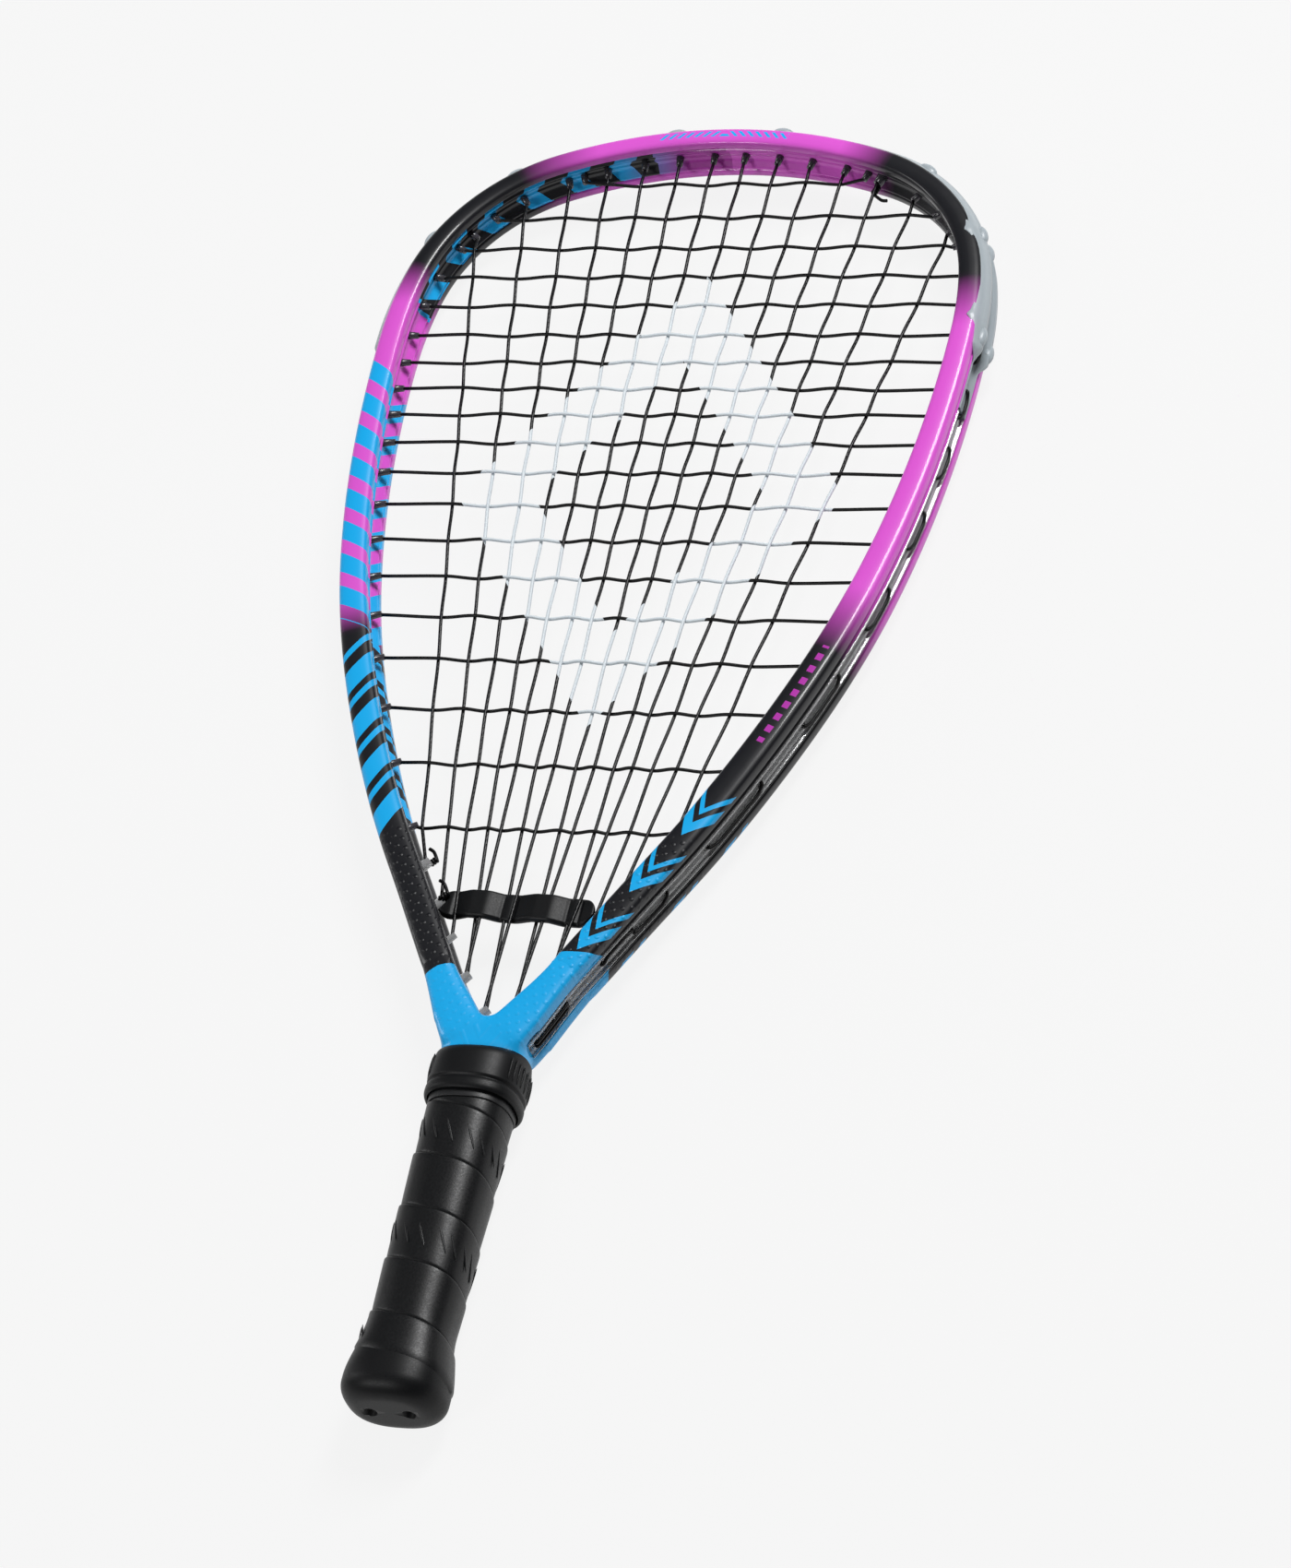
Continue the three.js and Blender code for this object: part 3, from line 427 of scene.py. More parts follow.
@dataclass
class Sheet:
    """Grid of points that becomes a mesh, with values on its points."""

    points: np.ndarray
    closed_columns: bool = False
    caps: bool = False
    values: dict[str, np.ndarray] = field(default_factory=dict)

    def faces(self) -> list[tuple[int, ...]]:
        """Lists the faces, with fans over the ends where the sheet has caps."""
        rows, columns = self.points.shape[:2]
        index = np.arange(rows * columns).reshape(rows, columns)
        if self.closed_columns:
            index = np.hstack([index, index[:, :1]])
        quads = np.stack([index[:-1, :-1], index[:-1, 1:], index[1:, 1:], index[1:, :-1]], axis=-1)
        found = [tuple(map(int, quad)) for quad in quads.reshape(-1, 4)]
        if self.caps:
            found.append(tuple(range(columns))[::-1])
            found.append(tuple(range((rows - 1) * columns, rows * columns)))
        return found


def linked(name: str, data: Any) -> bpy.types.Object:
    """Makes an object of a mesh, lamp or camera and links it to the scene."""
    made = bpy.data.objects.new(name, data)
    bpy.context.scene.collection.objects.link(made)
    return made


def smoothed(mesh: bpy.types.Mesh) -> bpy.types.Mesh:
    """Shades every face of a mesh smooth."""
    mesh.polygons.foreach_set("use_smooth", [True] * len(mesh.polygons))
    return mesh


def evaluated(piece: bpy.types.Object) -> bpy.types.Mesh:
    """Gives an object's mesh with its modifiers applied."""
    bpy.context.view_layer.update()
    graph = bpy.context.evaluated_depsgraph_get()
    return bpy.data.meshes.new_from_object(piece.evaluated_get(graph), depsgraph=graph)


def make_object(
    name: str, sheets: Sequence[Sheet], material: bpy.types.Material, weld: float = 0.0,
) -> bpy.types.Object:
    """Makes one smooth mesh object from sheets.

    Args:
        name: Name of the piece.
        sheets: Its grids of points, in mm.
        material: Its material.
        weld: Distance in mm below which points are joined, or 0.

    Returns:
        The object, linked and at the origin.
    """
    points, faces = [], []
    names = {key for sheet in sheets for key in sheet.values}
    values: dict[str, list] = {key: [] for key in names}
    for sheet in sheets:
        start = sum(len(block) for block in points)
        flat = sheet.points.reshape(-1, 3)
        points.append(flat)
        faces.extend(tuple(start + corner for corner in face) for face in sheet.faces())
        for key in names:
            own = sheet.values.get(key, 0.0)
            values[key].append(np.broadcast_to(own, sheet.points.shape[:2]).ravel())
    mesh = bpy.data.meshes.new(name)
    mesh.from_pydata((np.vstack(points) * MM).tolist(), [], faces)
    for key in sorted(names):
        column = mesh.attributes.new(key, "FLOAT", "POINT").data
        column.foreach_set("value", np.concatenate(values[key]))
    work = bmesh.new()
    work.from_mesh(mesh)
    if weld:
        bmesh.ops.remove_doubles(work, verts=work.verts, dist=weld * MM)
        bmesh.ops.dissolve_degenerate(work, edges=work.edges, dist=weld * MM / 10)
    bmesh.ops.recalc_face_normals(work, faces=work.faces)
    work.to_mesh(mesh)
    work.free()
    mesh.materials.append(material)
    return linked(name, smoothed(mesh))


def joined(base: bpy.types.Object, others: Sequence[bpy.types.Object]) -> bpy.types.Object:
    """Joins other objects' meshes into one object's mesh."""
    work = bmesh.new()
    for one in (base, *others):
        work.from_mesh(one.data)
    work.to_mesh(base.data)
    work.free()
    for one in others:
        bpy.data.objects.remove(one)
    smoothed(base.data)
    return base


def register(piece: bpy.types.Object, slot: Slot, *nodes: str) -> bpy.types.Object:
    """Attaches a piece to the body and hides the CAD nodes that it stands for.

    Args:
        piece: The object.
        slot: Not used.
        nodes: CAD nodes that it stands for.

    Returns:
        The object.
    """
    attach(piece, BODY)
    if nodes:
        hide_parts(*nodes)
    LOG.info("%s: %d faces", piece.name, len(piece.data.polygons))
    return piece


# Geometry node trees


@dataclass
class GeoTree:
    """Geometry node tree with named inputs, run on a mesh and turned into a plain one."""

    name: str
    sizes: dict[str, float]
    counts: dict[str, int] = field(default_factory=dict)

    def __post_init__(self) -> None:
        """Makes the tree with its sockets."""
        self.tree = bpy.data.node_groups.new(self.name, "GeometryNodeTree")
        face = self.tree.interface
        face.new_socket("Geometry", in_out="INPUT", socket_type="NodeSocketGeometry")
        kinds = {name: "NodeSocketFloat" for name in self.sizes}
        kinds.update({name: "NodeSocketInt" for name in self.counts})
        self.sockets = {}
        for name, kind in kinds.items():
            self.sockets[name] = face.new_socket(name, in_out="INPUT", socket_type=kind).identifier
        face.new_socket("Geometry", in_out="OUTPUT", socket_type="NodeSocketGeometry")
        self.given = self.tree.nodes.new("NodeGroupInput").outputs

    def close(self, geometry: Any, material: bpy.types.Material) -> None:
        """Ends the tree.

        Args:
            geometry: Socket of the result.
            material: Material of the result.
        """
        real = add_node(self.tree, "GeometryNodeRealizeInstances", geometry)
        done = add_node(self.tree, "GeometryNodeSetMaterial", real, named={"Material": material})
        add_node(self.tree, "NodeGroupOutput", done)

    def scatter(self, shape: Any, turn: Any, size: Any, material: bpy.types.Material) -> None:
        """Ends the tree with a shape on every point of the mesh.

        Args:
            shape: Socket of the shape.
            turn: Socket of its rotation.
            size: Socket of its scale.
            material: Material of the result.
        """
        cloud = add_node(self.tree, "GeometryNodeMeshToPoints", self.given["Geometry"])
        placing = (cloud, None, shape, None, None, turn, size)
        self.close(add_node(self.tree, "GeometryNodeInstanceOnPoints", *placing), material)

    def run(self, name: str, seed: bpy.types.Object) -> bpy.types.Object:
        """Runs the tree on an object and gives a plain mesh object.

        Args:
            name: Name of the new piece.
            seed: Object that the tree starts from, which is removed.

        Returns:
            The new object.
        """
        modifier = seed.modifiers.new(self.name, "NODES")
        modifier.node_group = self.tree
        for key, value in {**self.sizes, **self.counts}.items():
            modifier[self.sockets[key]] = value
        mesh = evaluated(seed)
        seed.modifiers.remove(modifier)
        bpy.data.objects.remove(seed)
        mesh.name = name
        return linked(name, smoothed(mesh))


def seed_points(
    name: str, points: np.ndarray, vectors: dict[str, np.ndarray], edges: bool = False,
) -> bpy.types.Object:
    """Makes an object of bare points or of a line, with vectors or numbers on its points.

    Args:
        name: Name of the object.
        points: Places in mm.
        vectors: Names to rows of three numbers, or to single numbers.
        edges: Whether the points are joined in a line.

    Returns:
        The object.
    """
    mesh = bpy.data.meshes.new(name)
    lines = [(one, one + 1) for one in range(len(points) - 1)] if edges else []
    mesh.from_pydata((points * MM).tolist(), lines, [])
    for key, value in vectors.items():
        kind, word = ("FLOAT_VECTOR", "vector") if np.ndim(value) == 2 else ("FLOAT", "value")
        column = mesh.attributes.new(key, kind, "POINT").data
        column.foreach_set(word, np.asarray(value, float).ravel())
    return linked(name, mesh)


def domes(
    name: str, points: Any, outwards: Any, alongs: Any, size: Sequence[float],
    material: bpy.types.Material, segments: int = 16, rings: int = 12,
) -> bpy.types.Object:
    """Makes rounded domes or ribs on a surface with geometry nodes.

    Args:
        name: Name of the piece.
        points: Middle of each one on the surface, in mm.
        outwards: Outward direction there.
        alongs: Direction of its length.
        size: Height, half width and half length in mm.
        material: Its material.
        segments: Faces around each one.
        rings: Faces along each one.

    Returns:
        The object.
    """
    points, outwards = np.array(points), np.array(outwards)
    outwards = outwards / np.linalg.norm(outwards, axis=1)[:, None]
    alongs = np.broadcast_to(alongs, outwards.shape)
    seed = seed_points(f"{name}_points", points, {"outward": outwards, "length_way": alongs})
    sizes = dict(zip(("Height", "Half width", "Half length"), (part * MM for part in size)))
    geo = GeoTree(name, sizes, {"Segments": segments, "Rings": rings})
    tree = geo.tree
    counts = (geo.given["Segments"], geo.given["Rings"])
    dome = add_node(tree, "GeometryNodeMeshUVSphere", *counts, 1.0)
    ways = [
        add_node(tree, "GeometryNodeInputNamedAttribute", key, data_type="FLOAT_VECTOR")
        for key in ("outward", "length_way")
    ]
    axes = {"primary_axis": "X", "secondary_axis": "Z"}
    turned = add_node(tree, "FunctionNodeAxesToRotation", *ways, **axes)
    scale = add_node(tree, "ShaderNodeCombineXYZ", *(geo.given[key] for key in sizes))
    geo.scatter(dome, turned, scale, material)
    return geo.run(name, seed)


# The line of the hoop, and the section on it


def smoothstep(value: Any, low: float, high: float) -> Any:
    """Eases a value from 0 to 1 between two limits."""
    share = np.clip((np.asarray(value, float) - low) / (high - low), 0, 1)
    return share * share * (3 - 2 * share)


def squared(value: Any, share: float) -> Any:
    """Raises a sine or cosine to a power below 1 and keeps its sign, so that a ring grows boxy."""
    return np.sign(value) * np.abs(value) ** share


@dataclass
class Hoop:
    """Centre line of the hoop, from the left foot (-1) over the crown (0) to the right foot (1)."""

    overall_length: float = 558.8
    width: float = 235.7
    throat_foot: float = 144.0
    arm_spacing: float = 13.8
    stud_height: float = 2.8
    guard_skin: float = 2.2
    crown_drop: float = -0.5
    thicknesses: tuple[float, ...] = (7.6, 8.0, 9.3, 10.8, 11.2, 17.0)
    depths: tuple[float, ...] = (20.8, 20.8, 22.0, 22.0, 21.0, 21.0)
    place_shares: tuple[float, ...] = (0, 0.17, 0.34, 0.68, 0.93, 1)
    radius_shares: tuple[float, ...] = (1.646, 0.6356, 1.254, 4.466, 4.005)
    sweep_shares: tuple[float, ...] = (0.2267, 0.6456, 0.13, 0.0889, 0.2533)
    arm_draw: float = 1.3
    draw_start: tuple[float, float] = (0.56, 0.74)
    draw_end: tuple[float, float] = (0.83, 0.96)
    samples: int = 4000

    @property
    def crown_outer(self) -> float:
        """Height of the hoop's outer wall at the crown."""
        return self.overall_length - self.stud_height - self.guard_skin + self.crown_drop

    @property
    def half(self) -> float:
        """Half width of the centre line."""
        return (self.width - self.thicknesses[2]) / 2

    @cached_property
    def table(self) -> dict[str, np.ndarray]:
        """Samples of the right half: places, points, run from the crown and outward directions."""
        arcs, start, heading, length = [], np.zeros(2), 0.0, 0.0
        for radius, sweep_share in zip(self.radius_shares, self.sweep_shares):
            sweep = sweep_share * math.pi / 2
            centre = start - radius * np.array([math.sin(heading), math.cos(heading)])
            arcs.append((centre, radius, heading, length, length + radius * sweep))
            heading += sweep
            length += radius * sweep
            start = centre + radius * np.array([math.sin(heading), math.cos(heading)])
        foot = self.arm_spacing / 2 / self.half
        total = length + (start[0] - foot) / -math.cos(heading)

        def chain(run: float) -> np.ndarray:
            """Point of the chain after a run, in units of its half width."""
            for centre, radius, turned, begin, end in arcs:
                if run <= end:
                    angle = turned + (run - begin) / radius
                    return centre + radius * np.array([math.sin(angle), math.cos(angle)])
            rest = run - length
            return start + rest * np.array([math.cos(heading), -math.sin(heading)])

        coarse = max(chain(total * step / 200)[0] for step in range(201))
        places = np.linspace(0, 1, self.samples + 1)
        points = np.array([chain(total * place) for place in places])
        crown_centre = self.crown_outer - self.thicknesses[0] / 2
        drop = -chain(total)[1]
        points[:, 0] *= self.half / coarse
        points[:, 1] = crown_centre + points[:, 1] * (crown_centre - self.throat_foot) / drop
        drawn = smoothstep(places, *self.draw_start) * (1 - smoothstep(places, *self.draw_end))
        points[:, 0] -= self.arm_draw * drawn
        steps = np.gradient(points, axis=0)
        steps[0, 1] = 0
        steps /= np.linalg.norm(steps, axis=1)[:, None]
        run = np.concatenate([[0], np.cumsum(np.linalg.norm(np.diff(points, axis=0), axis=1))])
        outward = np.stack([-steps[:, 1], steps[:, 0]], 1)
        return {"place": places, "point": points, "run": run, "outward": outward}

    def _read(self, key: str, place: np.ndarray) -> np.ndarray:
        """Reads pairs of the table at signed places, as 3-D rows mirrored to the left."""
        sign = np.where(place < 0, -1.0, 1.0)
        known = self.table["place"]
        x, y = (np.interp(np.abs(place), known, column) for column in self.table[key].T)
        return np.stack([sign * x, y, np.zeros_like(place)], -1)

    def frame_at(self, place: Any) -> tuple[np.ndarray, np.ndarray]:
        """Centre points and outward directions.

        Args:
            place: One place or many.

        Returns:
            Arrays of 3-D points and of unit vectors.
        """
        place = np.atleast_1d(np.asarray(place, float))
        centre, outward = self._read("point", place), self._read("outward", place)
        return centre, outward / np.linalg.norm(outward, axis=-1, keepdims=True)

    def run(self, place: Any) -> np.ndarray:
        """Distance from the crown in mm, negative on the left."""
        return np.sign(place) * np.interp(np.abs(place), self.table["place"], self.table["run"])

    def place_of(self, run: Any) -> np.ndarray:
        """Place at a signed distance from the crown."""
        return np.sign(run) * np.interp(np.abs(run), self.table["run"], self.table["place"])

    def blended(self, values: Sequence[float], place: Any) -> np.ndarray:
        """Section size at places, eased between its set values."""
        run = np.abs(np.atleast_1d(np.asarray(place, float)))
        result = np.full_like(run, values[0])
        for index in range(1, len(values)):
            low, high = self.place_shares[index - 1:index + 1]
            before, after = values[index - 1:index + 1]
            eased = before + (after - before) * smoothstep(run, low, high)
            result = np.where(run > low, eased, result)
        return result

    def thickness(self, place: Any) -> np.ndarray:
        """Thickness in the plane of the strings."""
        return self.blended(self.thicknesses, place)

    def depth(self, place: Any) -> np.ndarray:
        """Depth across the plane of the strings."""
        return self.blended(self.depths, place)

    def over_wall(self, place: Any, height: Any, z: Any) -> np.ndarray:
        """Points by place, height over the outer wall and z."""
        place = np.atleast_1d(np.asarray(place, float))
        centre, outward = self.frame_at(place)
        points = centre + outward * (self.thickness(place) / 2 + height)[..., None]
        points[..., 2] = z
        return points

    def sweep(self, places: np.ndarray, sections: np.ndarray) -> np.ndarray:
        """Puts sections on the line.

        Args:
            places: One place for each row.
            sections: Rows of (outward, z) pairs from the centre line.

        Returns:
            Grid of 3-D points.
        """
        centre, outward = self.frame_at(places)
        grid = centre[:, None, :] + outward[:, None, :] * sections[..., :1]
        grid[..., 2] = sections[..., 1]
        return grid


# Largest share of a segment that a rounded corner takes
CORNER_SHARE = 0.48


def rounded(corners: Sequence[Sequence[float]], radii: Any, steps: int) -> np.ndarray:
    """Rounds the corners of a line of points in 2-D or 3-D.

    Args:
        corners: Points of the line.
        radii: Length that each corner takes on both sides, or one for all.
        steps: Points on each rounded corner.

    Returns:
        Points of the rounded line.
    """
    points = np.asarray(corners, float)
    radii = np.broadcast_to(np.asarray(radii, float), len(points))
    shares = np.linspace(0, 1, steps)[:, None]
    made = []
    for index, corner in enumerate(points):
        if index in (0, len(points) - 1):
            made.append(corner[None])
            continue
        back, ahead = points[index - 1] - corner, points[index + 1] - corner
        spans = np.linalg.norm(back), np.linalg.norm(ahead)
        take = [min(radii[index], span * CORNER_SHARE) / max(span, 1e-9) for span in spans]
        start, end = corner + back * take[0], corner + ahead * take[1]
        bend = 2 * corner * shares * (1 - shares)
        made.append(start * (1 - shares) ** 2 + bend + end * shares ** 2)
    return np.vstack(made)


def mirrored(half: np.ndarray) -> np.ndarray:
    """Closes a section whose upper half runs from its inner to its outer middle."""
    return np.vstack([half, half[::-1] * (1, -1)])


# Holes and strings


@dataclass
class Hole:
    """Hole through the hoop."""

    place: float
    tip: np.ndarray
    axis: np.ndarray
    spread: float


# Shortest stretch of string across the bed, in mm; shorter stretches are loops over the trim
SHORTEST_RUN = 60
# Halvings of a search along the hoop, and steps of a hole's way out through its wall
HALVINGS = 40
EXIT_STEPS = 12


@dataclass
class Stringing:
    """Layout of the string bed: 14 mains and 19 crosses, with the hole of each end."""

    hoop: Hoop
    mains: int = 14
    crosses: int = 19
    diameter: float = 1.3
    main_weave: float = 0.6
    cross_weave: float = 0.78
    bed_top: float = 533.3
    bed_length: float = 298.4
    barrel_reach: float = 0.4
    mouth: float = 0.8
    lane: float = 1.75
    lane_shift: float = 3.5
    loop_step: float = 11.0
    loop_height: float = -0.05
    spacing: float = 6.0
    pair_spacing: float = 1.8
    lean: float = 0.28
    first_cross_shift: float = 8.0
    outer_foot_shift: float = 6.0
    knot_radius: float = 1.4
    knot_gap: float = 0.4
    knot_start: float = 1.6
    knot_length: float = 3.2
    knot_turns: int = 3
    knot_tail: tuple[tuple[float, float, float], ...] = (
        (5.4, 1.6, 0.6), (6.2, 4.4, 0.9), (5.6, 6.4, 0.7),
    )
    weave_steps: int = 6
    weave_gap: float = 4.5
    weave_share: float = 0.8
    bend: float = 1.1
    top_shares: tuple[float, ...] = (0.054, 0.1733, 0.2925, 0.4196, 0.5529, 0.7043, 0.8802)
    foot_shares: tuple[float, ...] = (0.0383, 0.0879, 0.155, 0.2037, 0.2708, 0.3378, 0.424)
    cross_shares: tuple[float, ...] = (
        0, 0.0551, 0.1052, 0.152, 0.1987, 0.2465, 0.2903, 0.3325, 0.3739, 0.419,
        0.4655, 0.5166, 0.5707, 0.6284, 0.6878, 0.7531, 0.8271, 0.9078, 1,
    )

    def __post_init__(self) -> None:
        """Places the holes."""
        self.middle = self.mains // 2
        self.last = self.mains - 1
        self.pairs = [(self.middle, self.middle + 1), (self.middle + 2, self.middle + 3)]
        self.crown_tie, self.foot_tie = self.last - 2, self.last - 1
        self.tied = {"top": [self.crown_tie], "foot": [0, self.last - self.foot_tie, self.foot_tie]}
        self.main_holes: list[dict[str, Hole]] = [{} for _ in range(self.mains)]
        self.cross_holes: list[dict[str, Hole]] = [{} for _ in range(self.crosses)]
        self.holes: list[Hole] = []
        self.fill(self.pushed(self.wanted()))

    def cross_y(self, cross: int) -> float:
        """Height of a cross."""
        return self.bed_top - self.cross_shares[cross] * self.bed_length

    def main_x(self, main: int, y: float) -> float:
        """Distance of a main from the middle at a height."""
        side = -1 if main < self.middle else 1
        order = main - self.middle if side > 0 else self.middle - 1 - main
        down = (self.bed_top - y) / self.bed_length
        top, foot = self.top_shares[order], self.foot_shares[order]
        return side * self.hoop.half * (top + (foot - top) * down)

    def main_direction(self, main: int) -> np.ndarray:
        """Direction of a main towards the crown."""
        low = self.bed_top - self.bed_length
        across = self.main_x(main, self.bed_top) - self.main_x(main, low)
        way = np.array([across, self.bed_length, 0])
        return way / np.linalg.norm(way)

    def tip(self, place: float) -> np.ndarray:
        """Point at the barrel's tip on the inner wall."""
        return self.hoop.over_wall(place, -self.hoop.thickness(place) - self.barrel_reach, 0)[0]

    @staticmethod
    def solve(measure: Callable[[float], float], low: float, high: float) -> float:
        """Finds where a measure is zero between two limits."""
        rising = measure(high) > measure(low)
        for _ in range(HALVINGS):
            middle = (low + high) / 2
            low, high = (low, middle) if (measure(middle) > 0) == rising else (middle, high)
        return (low + high) / 2

    def main_place(self, main: int, low: float, high: float) -> float:
        """Place where a main's line meets the barrel tips."""
        def off(place: float) -> float:
            """Distance of the tip from the main's line."""
            tip = self.tip(place)
            return float(tip[0] - self.main_x(main, tip[1]))
        return self.solve(off, low, high)

    def shifted(self, place: float, length: float) -> float:
        """Place moved along the line by a length."""
        return float(self.hoop.place_of(self.hoop.run(place) + length))

    def wanted(self) -> list[dict[str, Any]]:
        """Lists the holes of the right half at the places that their strings ask for."""
        side = self.solve(lambda place: float(self.hoop.frame_at(place)[1][0, 1]), 0.01, 0.99)
        found: list[dict[str, Any]] = []
        for main in range(self.middle, self.mains):
            top = self.main_place(main, 0, side)
            found.append({"main": main, "end": "top", "lean": 0.0, "place": top})
            pair = next((both for both in self.pairs if main in both), None)
            if pair and pair[0] != main:
                continue
            places = [self.main_place(one, side, 1) for one in pair or [main]]
            place = sum(places) / len(places)
            if main == self.last:
                place = self.shifted(place, self.outer_foot_shift)
            found.append({"main": main, "end": "foot", "lean": self.lean, "place": place})
        for cross in range(self.crosses):
            y = self.cross_y(cross)
            place = self.solve(lambda at: float(self.tip(at)[1] - y), 0, 1)
            if cross == 0:
                place = self.shifted(place, -self.first_cross_shift)
            found.append({"cross": cross, "lean": 0.0, "place": place})
        return sorted(found, key=lambda one: one["place"])

    def pushed(self, found: list[dict[str, Any]]) -> list[dict[str, Any]]:
        """Pushes neighbouring holes apart until their barrels have room."""
        runs = np.array([float(self.hoop.run(one["place"])) for one in found])
        for _ in found:
            for index in range(1, len(runs)):
                lack = max(0.0, self.spacing - (runs[index] - runs[index - 1])) / 2
                runs[index - 1] -= lack
                runs[index] += lack
        for one, run in zip(found, runs):
            one["place"] = float(self.hoop.place_of(run))
        return found

    def fill(self, found: list[dict[str, Any]]) -> None:
        """Makes the holes of both sides."""
        for one in found:
            main, end, cross = one.get("main"), one.get("end"), one.get("cross")
            pairs = self.pairs if end == "foot" else []
            pair = next((both for both in pairs if main in both), None)
            for side in (-1, 1):
                number = None if main is None else (main if side > 0 else self.last - main)
                spread = self.pair_spacing if pair or number in self.tied.get(end, []) else 0.0
                away = np.array([side, 0, 0])
                if main is not None:
                    away = self.main_direction(number) * (1 if end == "top" else -1)
                place = side * one["place"]
                outward = self.hoop.frame_at(place)[1][0]
                axis = outward * (1 - one["lean"]) + away * one["lean"]
                hole = Hole(place, self.tip(place), axis / np.linalg.norm(axis), spread)
                self.holes.append(hole)
                if main is None:
                    self.cross_holes[cross]["right" if side > 0 else "left"] = hole
                    continue
                self.main_holes[number][end] = hole
                if pair:
                    self.main_holes[pair[1] if side > 0 else self.last - pair[1]]["foot"] = hole

    def exit_of(self, hole: Hole, height: float) -> float:
        """Place where a hole's axis reaches a height over the outer wall."""
        run = float(self.hoop.run(hole.place))
        for _ in range(EXIT_STEPS):
            place = float(self.hoop.place_of(run))
            outward = self.hoop.frame_at(place)[1][0]
            target = self.hoop.over_wall(place, height, 0)[0]
            reached = hole.tip + hole.axis * ((target - hole.tip) @ outward) / (hole.axis @ outward)
            run += (reached - target) @ np.array([outward[1], -outward[0], 0])
        return float(self.hoop.place_of(run))

    def meets(self, main: int, cross: int) -> bool:
        """Tells whether a main and a cross meet inside the hoop."""
        y = self.cross_y(cross)
        ends = self.main_holes[main]
        inside = ends["foot"].tip[1] < y < ends["top"].tip[1]
        reach = self.cross_holes[cross]["right"].tip[0] - self.diameter
        return inside and abs(self.main_x(main, y)) < reach

    def over(self, main: int, cross: int) -> float:
        """Height of a main where it meets a cross."""
        return self.main_weave if (main + cross) % 2 == 0 else -self.main_weave

    def crosses_of(self, main: int) -> list[int]:
        """Crosses that a main meets, from the crown down."""
        return [cross for cross in range(self.crosses) if self.meets(main, cross)]

    def lift(self, main: int, end: str) -> float:
        """Height of a main in its hole: off the middle where the hole holds two strings."""
        if self.main_holes[main][end].spread == 0:
            return 0.0
        nearest = self.crosses_of(main)[0 if end == "top" else -1]
        return math.copysign(self.pair_spacing / 2, self.over(main, nearest))

    def mouth_of(self, hole: Hole, z: float) -> np.ndarray:
        """Point just inside the hoop before a hole."""
        point = hole.tip - hole.axis * self.mouth
        return np.array([point[0], point[1], z])

    def main_run(self, main: int) -> list[np.ndarray]:
        """Points of a main, from the crown down."""
        ends = self.main_holes[main]
        points = [self.mouth_of(ends["top"], self.lift(main, "top"))]
        for cross in self.crosses_of(main):
            y = self.cross_y(cross)
            points.append(np.array([self.main_x(main, y), y, self.over(main, cross)]))
        points.append(self.mouth_of(ends["foot"], self.lift(main, "foot")))
        return points

    def cross_run(self, cross: int) -> list[np.ndarray]:
        """Points of a cross, from left to right."""
        ends = self.cross_holes[cross]
        points = [self.mouth_of(ends["left"], 0)]
        y = self.cross_y(cross)
        for main in range(self.mains):
            if self.meets(main, cross):
                height = -math.copysign(self.cross_weave, self.over(main, cross))
                points.append(np.array([self.main_x(main, y), y, height]))
        points.append(self.mouth_of(ends["right"], 0))
        return points

    def outer_loop(
        self, start: Hole, end: Hole, start_z: float, end_z: float, lane: float,
    ) -> list[np.ndarray]:
        """Points of a loop over the trim, from one hole to the next."""
        runs = [float(self.hoop.run(self.exit_of(one, self.loop_height))) for one in (start, end)]
        way = math.copysign(1, runs[1] - runs[0])
        length = abs(runs[1] - runs[0])
        shift = min(self.lane_shift, length / 3)
        steps = max(1, math.ceil((length - 2 * shift) / self.loop_step))
        inner = [shift + (length - 2 * shift) * step / steps for step in range(steps + 1)]
        marks = [(0.0, start_z), *((one, lane) for one in inner), (length, end_z)]
        places = self.hoop.place_of([runs[0] + way * one for one, _ in marks])
        return list(self.hoop.over_wall(places, self.loop_height, [z for _, z in marks]))

    def knot(self, tie: Hole, side: float) -> list[np.ndarray]:
        """Points of a tied end: into the hoop beside its main, a tight coil, and a short tail."""
        apart = self.knot_radius + self.diameter / 2 + self.knot_gap - self.pair_spacing / 2
        across = np.cross(tie.axis, (0, 0, 1))

        def at(run: float, shift: float, z: float) -> np.ndarray:
            """Point after a run from the hole's mouth into the hoop."""
            point = tie.tip - tie.axis * run + across * shift
            return np.array([point[0], point[1], side * z])

        made = [at(self.mouth, 0, self.pair_spacing / 2)]
        coil = self.knot_radius - self.diameter / 2
        turns = np.linspace(0, self.knot_turns * FULL_TURN, 8 * self.knot_turns + 1)
        for turn in turns:
            run = self.knot_start + self.knot_length * turn / turns[-1]
            made.append(at(run, coil * math.sin(turn), apart + coil * math.cos(turn)))
        return made + [at(run, shift, apart + rise) for run, shift, rise in self.knot_tail]

    def tied_end(
        self, start: Hole, start_z: float, main: int, end: str, lane: float,
    ) -> list[np.ndarray]:
        """Points from a hole to the hole of the main that the end is tied to, and its knot."""
        tie = self.main_holes[main][end]
        side = -math.copysign(1, self.lift(main, end))
        loop = self.outer_loop(start, tie, start_z, side * self.pair_spacing / 2, lane)
        return loop + self.knot(tie, side)

    def foot_lane(self, start_z: float, end_z: float) -> float:
        """Lane of a main's loop round the throat."""
        return start_z if start_z == end_z else math.copysign(self.lane, start_z + end_z)

    def main_path(self) -> list[list[np.ndarray]]:
        """Stretches of the main string, in turn."""
        half = [self.middle + step for step in (0, 2, 1, 3, 4, 5, 6)]
        order = [self.last - main for main in half[::-1]] + half

